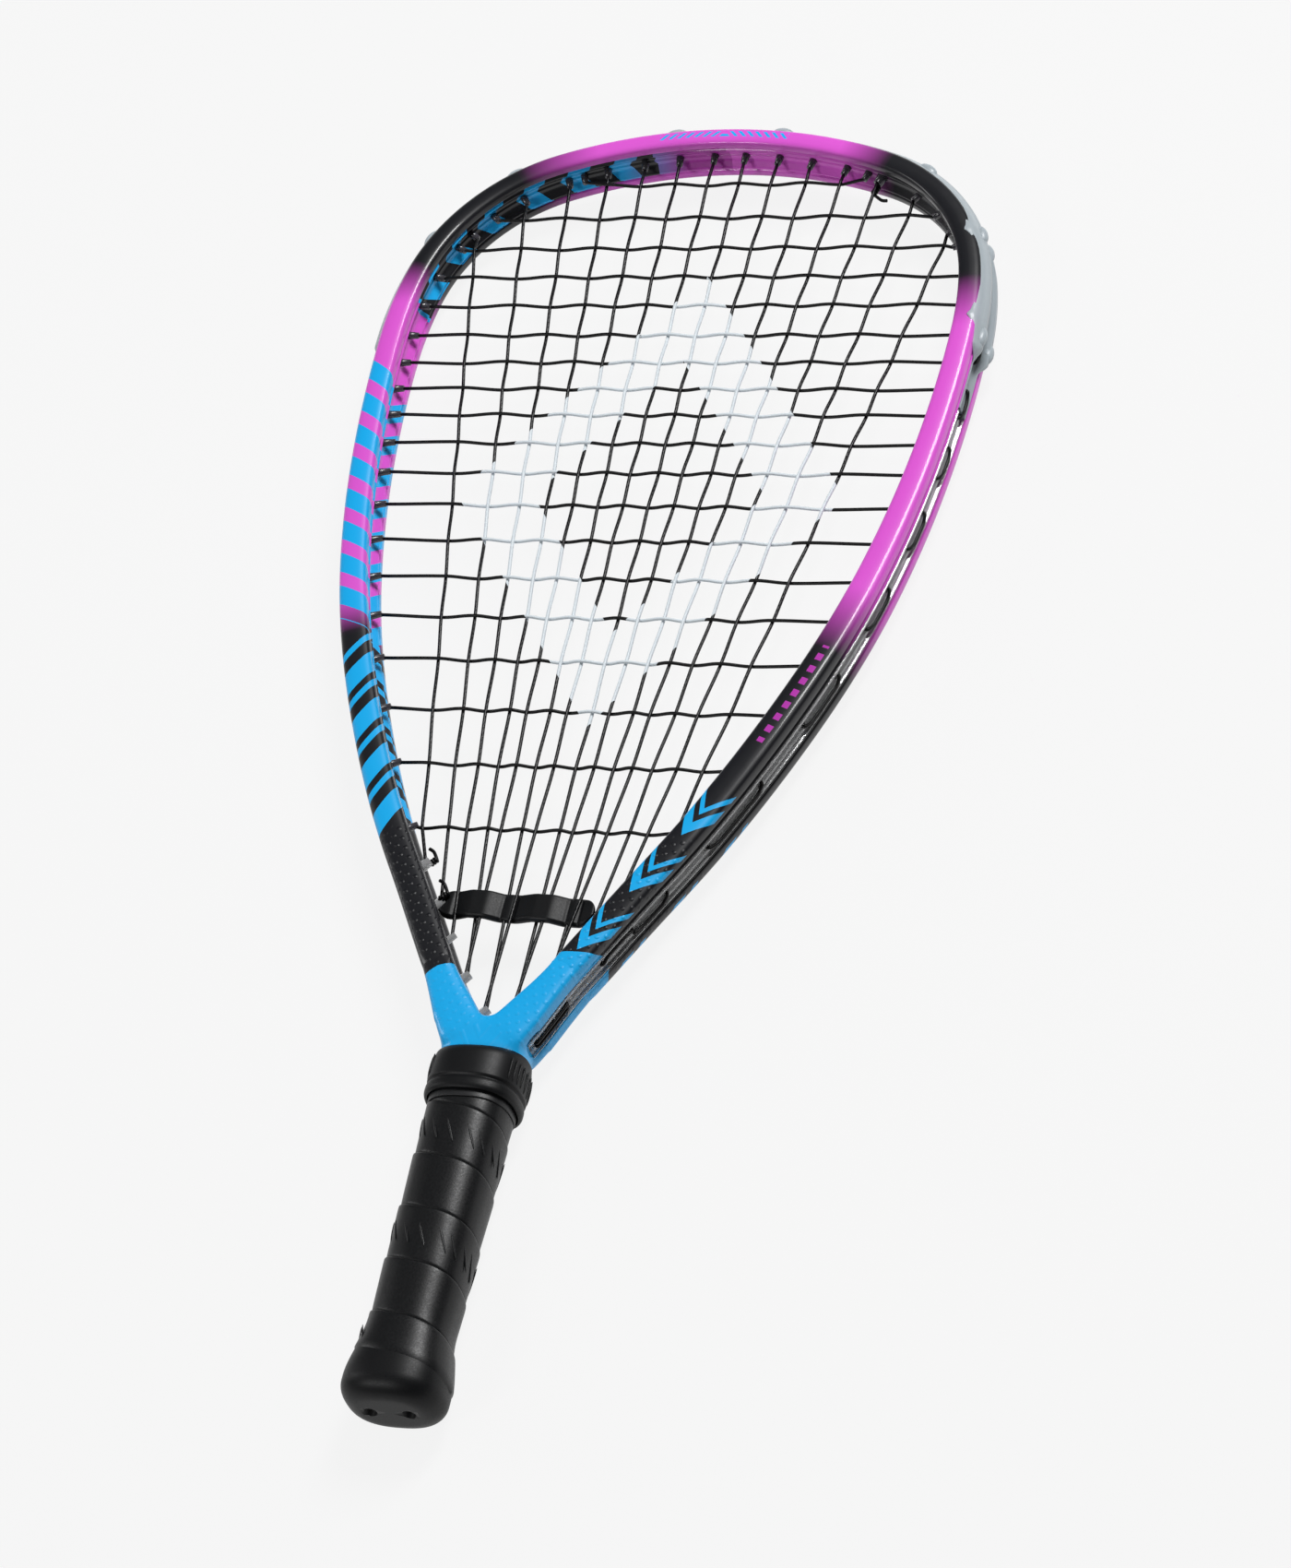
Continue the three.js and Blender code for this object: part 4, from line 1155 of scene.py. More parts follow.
        def end_of(main: int, tie_main: int) -> list[np.ndarray]:
            """Points from a main's foot to the end of the string."""
            lift = self.lift(main, "foot")
            lane = self.foot_lane(lift, -self.lift(tie_main, "foot"))
            return self.tied_end(self.main_holes[main]["foot"], lift, tie_main, "foot", lane)

        path = [end_of(0, self.last - self.foot_tie)[::-1]]
        for index, main in enumerate(order):
            rising = index % 2 == 0
            points = self.main_run(main)
            path.append(points[::-1] if rising else points)
            if index + 1 == len(order):
                break
            following = order[index + 1]
            end = "top" if rising else "foot"
            start_z, end_z = self.lift(main, end), self.lift(following, end)
            lane = self.lane if rising else self.foot_lane(start_z, end_z)
            ends = self.main_holes[main][end], self.main_holes[following][end]
            path.append(self.outer_loop(*ends, start_z, end_z, lane))
        path.append(end_of(self.last, self.foot_tie))
        return path

    def cross_path(self) -> list[list[np.ndarray]]:
        """Stretches of the cross string, in turn."""
        first = self.cross_holes[0]["right"]
        path = [self.tied_end(first, 0, self.crown_tie, "top", -self.lane)[::-1]]
        for cross in range(self.crosses):
            leftwards = cross % 2 == 0
            points = self.cross_run(cross)
            path.append(points[::-1] if leftwards else points)
            if cross + 1 == self.crosses:
                break
            side = "left" if leftwards else "right"
            ends = self.cross_holes[cross][side], self.cross_holes[cross + 1][side]
            path.append(self.outer_loop(*ends, 0, 0, -self.lane))
        path.append(self.tied_end(self.cross_holes[-1]["left"], 0, 0, "foot", -self.lane))
        return path

    def line(self, path: list[list[np.ndarray]]) -> np.ndarray:
        """Turns a path into one fine line, eased over the weave and rounded at the hoop."""
        made = []
        for stretch in path:
            points = np.array(stretch)
            long = len(points) >= 5 and np.ptp(points[:, :2], axis=0).max() >= SHORTEST_RUN
            gaps = np.abs(np.diff(points[:, :2], axis=0)).sum(axis=1)
            if not long or not (gaps > self.weave_gap).mean() > self.weave_share:
                made.extend(points)
                continue
            made.append(points[0])
            for start, end in zip(points[:-1], points[1:]):
                for share in np.linspace(0, 1, self.weave_steps + 1)[1:]:
                    point = start + (end - start) * share
                    eased = (1 - math.cos(math.pi * share)) / 2
                    point[2] = start[2] + (end[2] - start[2]) * eased
                    made.append(point)
        return rounded(np.array(made), self.bend, steps=4)


# Sub-assemblies


@dataclass
class PaintedFrame:
    """Hoop, arms and throat in one painted shell, as two lobes with a channel outside."""

    hoop: Hoop
    trim_end: float
    recess: float = 2.4
    valley: float = 1.9
    channel_half: float = 4.2
    channel_depth: float = 2.6
    lobe: float = 4.4
    flute_depth: float = 0.8
    flute_fade: tuple[float, float] = (0.86, 0.97)
    stations: int = 430
    shaft_half_width: float = 10.8
    shaft_half_depth: float = 8.2
    shoulder_half_width: float = 15.7
    shoulder_half_depth: float = 10.1
    shaft_end: float = 9.0
    shaft_top: float = 121.0
    shoulder_start: float = 132.0
    web_rise: float = 8.0
    web_half_widths: tuple[float, float] = (11.0, 7.0)
    voxel: float = 0.5
    seam_run: float = 470.0
    seam_step: float = 0.35
    throat_inset: float = 0.3
    smoothing: int = 70
    slight_pull: float = 0.25
    pull_rate: float = 0.7
    smoothed_half: float = 18.0
    smoothed_from: tuple[float, float] = (132.0, 137.0)

    def half_section(self, place: float) -> np.ndarray:
        """Upper half of the section, from the inner valley to the channel's floor.

        Args:
            place: Place along the hoop.

        Returns:
            Pairs of outward distance and z.
        """
        half = float(self.hoop.thickness(place)[0]) / 2
        deep = float(self.hoop.depth(place)[0]) / 2
        fade = 1 - float(smoothstep(abs(place), self.trim_end, (1 + self.trim_end) / 2))
        floor = half - max(self.channel_depth * fade, 0.05)
        lobe = min(self.lobe, half * 0.98)
        flute = self.flute_depth * (1 - float(smoothstep(abs(place), *self.flute_fade)))
        crease = (deep - lobe + self.channel_half) / 2
        valley = [
            (self.recess - half, 0, 0), (self.recess - half, self.valley, 1.2),
            (-half, self.valley + self.recess * 1.15, 0.9),
        ]
        flanks = [
            (-half, crease - 0.2, 0.4), (flute - half, crease + 0.5, 0.4),
            (-half, crease + 1.2, 0.4), (-half, deep, lobe), (half, deep, lobe),
            (half, crease + 0.8, 0.5), (half - flute, crease, 0.4), (half, crease - 0.7, 0.4),
        ]
        channel = [(half, self.channel_half, 0.3), (floor, self.channel_half, 0.3), (floor, 0, 0)]
        corners = np.array([*valley, *flanks, *channel])
        return rounded(corners[:, :2], corners[:, 2], steps=5)

    def shell(self, places: np.ndarray, inset: np.ndarray) -> Sheet:
        """Makes the sweep over places, with its paint coordinates.

        Args:
            places: One place for each section.
            inset: Depth by which each section is drawn in.

        Returns:
            The closed sweep.
        """
        halves = np.array([self.half_section(place) for place in places])
        steps = np.linalg.norm(np.diff(halves, axis=1), axis=2)
        along = np.concatenate([np.zeros((len(places), 1)), np.cumsum(steps, axis=1)], axis=1)
        tops = [half[:, 1] > half[:, 1].max() - self.lobe / 2 for half in halves]
        rows = zip(halves, along, tops)
        crest = np.array([np.interp(0, half[top, 0], length[top]) for half, length, top in rows])
        around = along - crest[:, None]
        halves *= 1 - inset[:, None, None] / (self.hoop.thickness(places)[:, None, None] / 2)
        sections = np.array([mirrored(half) for half in halves])
        around = np.concatenate([around, around[:, ::-1]], axis=1)
        run = np.broadcast_to(self.hoop.run(places)[:, None], around.shape)
        values = {"run": np.abs(run), "around": around, "side": np.sign(run)}
        grid = self.hoop.sweep(places, sections)
        return Sheet(grid, closed_columns=True, caps=True, values=values)

    def shaft(self) -> Sheet:
        """Makes the shaft under the grip."""
        heights = (self.shaft_end, 60, self.shaft_top)
        rows = [(y, self.shaft_half_width, self.shaft_half_depth) for y in heights]
        return Sheet(boxy_rings(rows, 48), closed_columns=True, caps=True)

    def shoulder(self) -> Sheet:
        """Makes the shaft's shoulder under the collar and the web between the arms."""
        foot = self.hoop.throat_foot
        rows = [
            (self.shaft_top - 2, self.shaft_half_width, self.shaft_half_depth),
            (self.shaft_top, self.shaft_half_width, self.shaft_half_depth),
            (self.shoulder_start, self.shoulder_half_width, self.shoulder_half_depth),
            (foot - 2, self.shoulder_half_width, self.shoulder_half_depth),
            (foot + 2, self.shoulder_half_width - 1, self.shoulder_half_depth),
            (foot + 5, self.web_half_widths[0], self.shoulder_half_depth),
            (foot + self.web_rise, self.web_half_widths[1], self.shoulder_half_depth),
        ]
        return Sheet(boxy_rings(rounded(rows, 3.0, steps=8), 96), closed_columns=True, caps=True)

    def eased(self, mesh: bpy.types.Mesh) -> np.ndarray:
        """Smooths a mesh's points: a little everywhere, and far more where arms and shaft meet.

        Args:
            mesh: Fine mesh of the throat.

        Returns:
            Its points in mm, moved.
        """
        points = np.empty(len(mesh.vertices) * 3)
        mesh.vertices.foreach_get("co", points)
        points = points.reshape(-1, 3) / MM
        ends = np.empty(len(mesh.edges) * 2, int)
        mesh.edges.foreach_get("vertices", ends)
        ends = ends.reshape(-1, 2)
        degree = np.bincount(ends.ravel(), minlength=len(points))[:, None]
        middle = np.exp(-(points[:, 0] / self.smoothed_half) ** 6)
        middle *= smoothstep(points[:, 1], *self.smoothed_from)
        pull = np.maximum(self.slight_pull, middle)[:, None]
        for step in range(self.smoothing):
            total = np.zeros_like(points)
            for column in range(3):
                for near, far in (ends.T, ends.T[::-1]):
                    total[:, column] += np.bincount(near, points[far, column], len(points))
            weight = pull if step < 3 else np.where(pull > self.slight_pull + 0.01, pull, 0)
            points += (total / degree - points) * weight * self.pull_rate
        return points

    def throat(self, paint: bpy.types.Material) -> bpy.types.Object:
        """Makes the throat: the arms' feet and the shaft in one skin, smoothed where they meet."""
        start = float(self.hoop.place_of(self.seam_run - 7))
        arms = [self.shell(side * np.linspace(start, 1, 90), np.zeros(90)) for side in (-1, 1)]
        made = make_object("throat", [*arms, self.shoulder()], paint)
        remesh = made.modifiers.new("skin", "REMESH")
        remesh.mode, remesh.voxel_size = "VOXEL", self.voxel * MM
        mesh = evaluated(made)
        bpy.data.objects.remove(made)
        points = self.eased(mesh)
        table = self.hoop.table
        low = max(0, int(len(table["run"]) * 0.85))
        line, outward = table["point"][low:], table["outward"][low:]
        flat = np.stack([np.abs(points[:, 0]), points[:, 1]], 1)
        nearest = np.array([np.argmin(((line - one) ** 2).sum(axis=1)) for one in flat])
        run = table["run"][low:][nearest]
        offset = ((flat - line[nearest]) * outward[nearest]).sum(axis=1)
        mesh.vertices.foreach_set("co", (points * MM).ravel())
        mesh.update()
        normals = np.empty(len(points) * 3)
        mesh.vertices.foreach_get("normal", normals)
        drawn = 1 - smoothstep(run, self.seam_run - 6, self.seam_run + 3)
        drawn *= self.throat_inset
        drawn *= points[:, 1] > self.hoop.throat_foot + 6
        points -= normals.reshape(-1, 3) * drawn[:, None]
        mesh.vertices.foreach_set("co", (points * MM).ravel())
        side = np.clip(points[:, 0] / 3, -1, 1)
        for name, value in {"run": run, "around": offset, "side": side}.items():
            mesh.attributes.new(name, "FLOAT", "POINT").data.foreach_set("value", value)
        return linked("throat", mesh)

    def build(self, paint: bpy.types.Material) -> bpy.types.Object:
        """Builds the frame."""
        end = float(self.hoop.place_of(self.seam_run + 5))
        places = np.linspace(-end, end, self.stations)
        runs = np.abs(self.hoop.run(places))
        inset = self.seam_step * smoothstep(runs, self.seam_run - 4, self.seam_run + 4)
        hoop = make_object("frame_shell", [self.shell(places, inset), self.shaft()], paint)
        return joined(hoop, [self.throat(paint)])


def boxy_rings(profile: Any, columns: int, box_share: float = 0.64) -> np.ndarray:
    """Rings of the handle's rounded box section.

    Args:
        profile: Rows of y, half width and half depth.
        columns: Points of a ring.
        box_share: Exponent that squares the ring.

    Returns:
        Grid of points.
    """
    profile = np.asarray(profile, float)
    angle = np.arange(columns) / columns * FULL_TURN
    x, z = squared(np.cos(angle), box_share), squared(np.sin(angle), box_share)
    grid = np.empty((len(profile), columns, 3))
    grid[..., 0] = profile[:, 1:2] * x
    grid[..., 1] = profile[:, 0:1]
    grid[..., 2] = profile[:, 2:3] * z
    return grid


@dataclass
class ChannelTrim:
    """Bumper guard over the head and grommet strips down the sides, with their barrels."""

    shell: PaintedFrame
    stringing: Stringing
    guard_end: float
    gap: float = 0.35
    base: float = 1.2
    groove_half: float = 3.0
    skin: float = 2.7
    reach: float = 7.6
    lip: float = 0.45
    far_reach: float = 2.2
    leg_run: float = 180.0
    wrap_runs: tuple[float, ...] = (
        0, 60, 85, 103, 116, 119.5, 121.5, 123.5, 127, 135, 147, 157, 161, 163, 165.5, 170, 178,
    )
    wrap_reaches: tuple[float, ...] = (
        1.4, 1.6, 2.2, 3.2, 4.3, 4.9, 6.2, 4.9, 4.0, 3.5, 3.5, 4.2, 4.9, 6.1, 4.2, 2.4, 0.6,
    )
    edge: float = 1.1
    stud_rise: float = 1.3
    stud_half_length: float = 4.4
    stud_places: tuple[float, ...] = (-0.245, -0.167, -0.042, 0.042, 0.167, 0.245, 0.338)
    window_margin: float = 4.2
    window_half: float = 2.75
    window_slope: float = 0.8
    rim: float = 0.6
    rim_edges: tuple[float, float, float] = (0.95, 0.75, 0.3)
    barrel_wall: float = 0.8
    barrel_outs: tuple[float, float] = (1.2, 2.4)
    barrel_sides: int = 20
    tip_share: float = 0.62
    clearance: float = 0.45
    guard_stations: int = 420
    strip_stations: int = 620

    def __post_init__(self) -> None:
        """Takes the frame's line and channel."""
        self.hoop, self.lobe = self.shell.hoop, self.shell.lobe
        self.floor = self.gap - self.shell.channel_depth
        self.leg = self.shell.channel_half - self.gap

    def guard_half_section(self, place: float) -> np.ndarray:
        """Upper half of the guard's section: a channel leg, and a skin that wraps the flank."""
        floor, leg = self.floor, self.leg
        run = float(self.hoop.run(place))
        start = float(self.hoop.depth(place)[0]) / 2 - self.lobe
        reach = np.interp(abs(run), self.wrap_runs, self.wrap_reaches)
        reach = min(reach, self.far_reach) if run < 0 else reach
        angles = np.linspace(0, reach / self.lobe, 9)
        arc = np.stack([np.cos(angles), np.sin(angles)], 1)
        skins = np.linspace(self.skin - 0.7, self.lip, 9)[:, None]
        under = (-self.lobe, start) + (self.lobe + 0.08) * arc
        over = (-self.lobe, start) + (self.lobe + skins) * arc
        onward = np.array([-math.sin(angles[-1]), math.cos(angles[-1])])
        bend = (under[-1] + over[-1]) / 2 + 0.3 * onward
        foot, top = (self.gap, leg + 0.5), (self.skin, start - 0.8)
        wrap = np.array([foot, *under, bend, *over[::-1], top])
        corner = np.array([self.gap, leg])
        cover = 1 - float(smoothstep(abs(run), self.leg_run - 6, self.leg_run))
        wrap = corner + (wrap - corner) * cover
        top = self.gap + (self.skin - self.gap) * cover
        inner = [(floor, 0), (floor, leg), corner]
        low = floor + self.base
        outer = [(top, (leg + self.groove_half) / 2), (low, self.groove_half), (low, 0)]
        return np.array([*inner, *wrap, *outer])

    def swept(self, places: np.ndarray, half_section: Callable[[float], np.ndarray]) -> Sheet:
        """Sweeps a section whose distances are from the outer wall."""
        sections = np.array([mirrored(half_section(place)) for place in places])
        sections[..., 0] += self.hoop.thickness(places)[:, None] / 2
        return Sheet(self.hoop.sweep(places, sections), closed_columns=True, caps=True)

    def studs(self, material: bpy.types.Material) -> bpy.types.Object:
        """Makes the guard's rows of low bumps."""
        points, outwards = [], []
        for place in self.stud_places:
            for side in (-1, 1):
                z = side * (self.groove_half + self.reach) / 2
                points.append(self.hoop.over_wall(place, self.skin - self.edge, z)[0])
                outwards.append(self.hoop.frame_at(place)[1][0])
        half_width = (self.reach - self.groove_half) / 2 - 0.2
        size = (self.stud_rise + self.edge, self.stud_half_length, half_width)
        return domes("guard_studs", points, outwards, (0, 0, 1), size, material, 28, 14)

    def guard(self, material: bpy.types.Material) -> bpy.types.Object:
        """Builds the guard with its domes."""
        places = np.linspace(-self.guard_end, self.guard_end, self.guard_stations)
        skin = self.swept(places, self.guard_half_section)
        return joined(make_object("bumper_guard_shell", [skin], material), [self.studs(material)])

    def strip_half_section(self, opening: float) -> np.ndarray:
        """Upper half of a strip's section; opening is the half width of its window there."""
        floor, leg = self.floor, self.leg
        share = min(1.0, opening / self.window_slope)
        low = -self.gap + (floor + self.base + self.gap) * share
        rim = -self.gap + self.rim * share
        edge = max(opening, 0.05)
        foot, outer, inner = (edge + out for out in self.rim_edges)
        corners = np.array([
            (floor, 0, 0), (floor, leg, 0.3), (-self.gap, leg, 0.3), (-self.gap, foot, 0.15),
            (rim, outer, 0.15), (rim, inner, 0.15), (low, edge, 0.02), (low, 0, 0),
        ])
        return rounded(corners[:, :2], corners[:, 2], steps=4)

    def strip(self, side: Side, material: bpy.types.Material) -> bpy.types.Object:
        """Builds one strip, with an oval window over each loop of string."""
        start = float(self.hoop.place_of(self.hoop.run(self.guard_end) + 1))
        places = np.linspace(start, self.shell.trim_end, self.strip_stations)
        runs = self.hoop.run(places)
        opened = np.zeros_like(runs)
        for low, high in self.loops(side):
            low = max(low - self.window_margin, runs[0] + 1.5)
            high = min(high + self.window_margin, runs[-1] - 1.8)
            share = np.clip(np.abs(runs - (low + high) / 2) / ((high - low) / 2), 0, 1)
            opened = np.maximum(opened, self.window_half * (1 - share ** 2.6) ** 0.6)
        table = dict(zip(places * side.value, opened))
        signed = np.array(sorted(table))
        sheet = self.swept(signed, lambda place: self.strip_half_section(table[place]))
        return make_object(f"{side.name.lower()}_strip_shell", [sheet], material)

    def loops(self, side: Side) -> list[tuple[float, float]]:
        """Stretches of one side that loops of string cover, as distances from the crown."""
        lay = self.stringing
        spans = []
        for path in (lay.main_path(), lay.cross_path()):
            for stretch in path[1:-1]:
                points = np.array(stretch)
                across = np.ptp(points[:, :2], axis=0).max() > SHORTEST_RUN
                if across or points[0, 0] * side.value < 0:
                    continue
                spans.append(sorted(self.run_of(point) for point in (points[0], points[-1])))
        return [tuple(span) for span in spans]

    def run_of(self, point: np.ndarray) -> float:
        """Distance from the crown of the line's point nearest to a point."""
        table = self.hoop.table
        off = np.hypot(table["point"][:, 0] - abs(point[0]), table["point"][:, 1] - point[1])
        return float(table["run"][off.argmin()])

    def barrels(
        self, name: str, wanted: Callable[[Hole], bool], material: bpy.types.Material,
    ) -> bpy.types.Object:
        """Makes the barrels of some holes with geometry nodes.

        Args:
            name: Name of the piece.
            wanted: Which holes it takes.
            material: Its material.

        Returns:
            The object.
        """
        points, ways, radii, lengths = [], [], [], []
        height = self.floor + self.base / 2
        wall = self.stringing.diameter / 2 + self.clearance + self.barrel_wall
        for hole in filter(wanted, self.stringing.holes):
            foot = self.hoop.over_wall(self.stringing.exit_of(hole, height), height, 0)[0]
            out = self.barrel_outs[int(abs(hole.place) >= self.guard_end)]
            points.append(hole.tip - hole.axis * out)
            ways.append(hole.axis)
            radii.append((wall + hole.spread / 2) * MM)
            lengths.append((np.linalg.norm(foot - hole.tip) + out) * MM)
        vectors = {"way": np.array(ways), "wide": np.array(radii), "long": np.array(lengths)}
        seed = seed_points(f"{name}_points", np.array(points), vectors)
        sizes, counts = {"Tip share": self.tip_share}, {"Sides": self.barrel_sides}
        geo = GeoTree("grommet_barrels", sizes, counts)
        tree = geo.tree
        named = {"Vertices": geo.given["Sides"], "Radius Bottom": geo.given["Tip share"]}
        named.update({"Radius Top": 1.0, "Depth": 1.0})
        cone = add_node(tree, "GeometryNodeMeshCone", named=named)
        way, wide, long = (
            add_node(tree, "GeometryNodeInputNamedAttribute", key, data_type=kind)
            for key, kind in (("way", "FLOAT_VECTOR"), ("wide", "FLOAT"), ("long", "FLOAT"))
        )
        axes = {"primary_axis": "Z", "secondary_axis": "X"}
        turn = add_node(tree, "FunctionNodeAxesToRotation", way, (0, 0, 1), **axes)
        size = add_node(tree, "ShaderNodeCombineXYZ", wide, wide, long)
        geo.scatter(cone, turn, size, material)
        return geo.run(name, seed)


@dataclass
class StringBed:
    """The two strings, made along their paths with geometry nodes."""

    stringing: Stringing
    sides: int = 10

    def tube(self, name: str, line: np.ndarray, material: bpy.types.Material) -> bpy.types.Object:
        """Makes a round string along a line, with its length and turn kept as attributes."""
        seed = seed_points(f"{name}_line", line, {}, edges=True)
        sizes = {"Radius": self.stringing.diameter / 2 * MM}
        geo = GeoTree("string_tube", sizes, {"Sides": self.sides})
        tree = geo.tree
        curve = add_node(tree, "GeometryNodeMeshToCurve", geo.given["Geometry"])
        length = add_node(tree, "GeometryNodeSplineParameter", output=1)
        kind = {"data_type": "FLOAT", "domain": "POINT"}
        kept = (curve, None, "along", length)
        curve = add_node(tree, "GeometryNodeStoreNamedAttribute", *kept, **kind)
        named = {"Resolution": geo.given["Sides"], "Radius": geo.given["Radius"]}
        ring = add_node(tree, "GeometryNodeCurvePrimitiveCircle", named=named)
        factor = add_node(tree, "GeometryNodeSplineParameter")
        kept = (ring, None, "turn", factor)
        ring = add_node(tree, "GeometryNodeStoreNamedAttribute", *kept, **kind)
        mesh = add_node(tree, "GeometryNodeCurveToMesh", curve, ring, None, True)
        geo.close(mesh, material)
        return geo.run(name, seed)


@dataclass
class Damper:
    """Rubber bar woven between the mains, in the throat."""

    stringing: Stringing
    x: float = -4.0
    y: float = 202.0
    length: float = 60.0
    width: float = 11.4
    thickness: float = 3.2
    wave: float = 0.9
    dent: float = 0.6
    dent_half: float = 0.95
    tilt: float = 0.035
    stations: int = 221
    columns: int = 48
    edge_share: float = 0.5
    face_share: float = 0.62
    lips: tuple[tuple[float, float, float], ...] = ((0.2, -0.82, 0.1), (0.1, 0.86, 0.08))
    front: tuple[int, ...] = (-1, 1, 1, -1, -1, 1, 1, -1, -1, 1)

    def build(self, material: bpy.types.Material) -> bpy.types.Object:
        """Builds the bar: it eases over and under the mains, and each one dents it."""
        first = self.stringing.middle - len(self.front) // 2
        mains = range(first, first + len(self.front))
        places = [self.stringing.main_x(main, self.y) - self.x for main in mains]
        marks = list(zip(places, self.front))
        along = self.length / 2 * np.sin(np.linspace(-math.pi / 2, math.pi / 2, self.stations))
        height = np.full(len(along), float(self.front[0]))
        for (low, before), (high, after) in zip(marks, marks[1:]):
            eased = before + (after - before) * smoothstep(along, low, high)
            height = np.where(along > low, eased, height)
        dents = {side: np.zeros(len(along)) for side in (-1, 1)}
        for x, side in marks:
            dents[side] += self.dent * np.exp(-((along - x) / self.dent_half) ** 2)
        end = np.clip((self.length / 2 - np.abs(along)) / (self.width / 2), 0, 1)
        tip = np.maximum(np.sqrt(1 - (1 - end) ** 2), 0.03)
        angle = np.arange(self.columns) / self.columns * FULL_TURN
        u, v = squared(np.cos(angle), self.edge_share), squared(np.sin(angle), self.face_share)
        v *= 1 + sum(rise * np.exp(-((u - place) / width) ** 2) for rise, place, width in self.lips)
        grid = np.empty((len(along), self.columns, 3))
        grid[..., 0] = self.x + along[:, None]
        half_width, half_thickness = self.width / 2 * tip, self.thickness / 2 * tip ** 0.5
        grid[..., 1] = self.y + half_width[:, None] * u - self.tilt * along[:, None]
        grid[..., 2] = (self.wave * height)[:, None] + half_thickness[:, None] * v
        grid[..., 2] -= np.where(v > 0.3, dents[-1][:, None], 0)
        grid[..., 2] += np.where(v < -0.3, dents[1][:, None], 0)
        return make_object("damper_bar", [Sheet(grid, closed_columns=True, caps=True)], material)


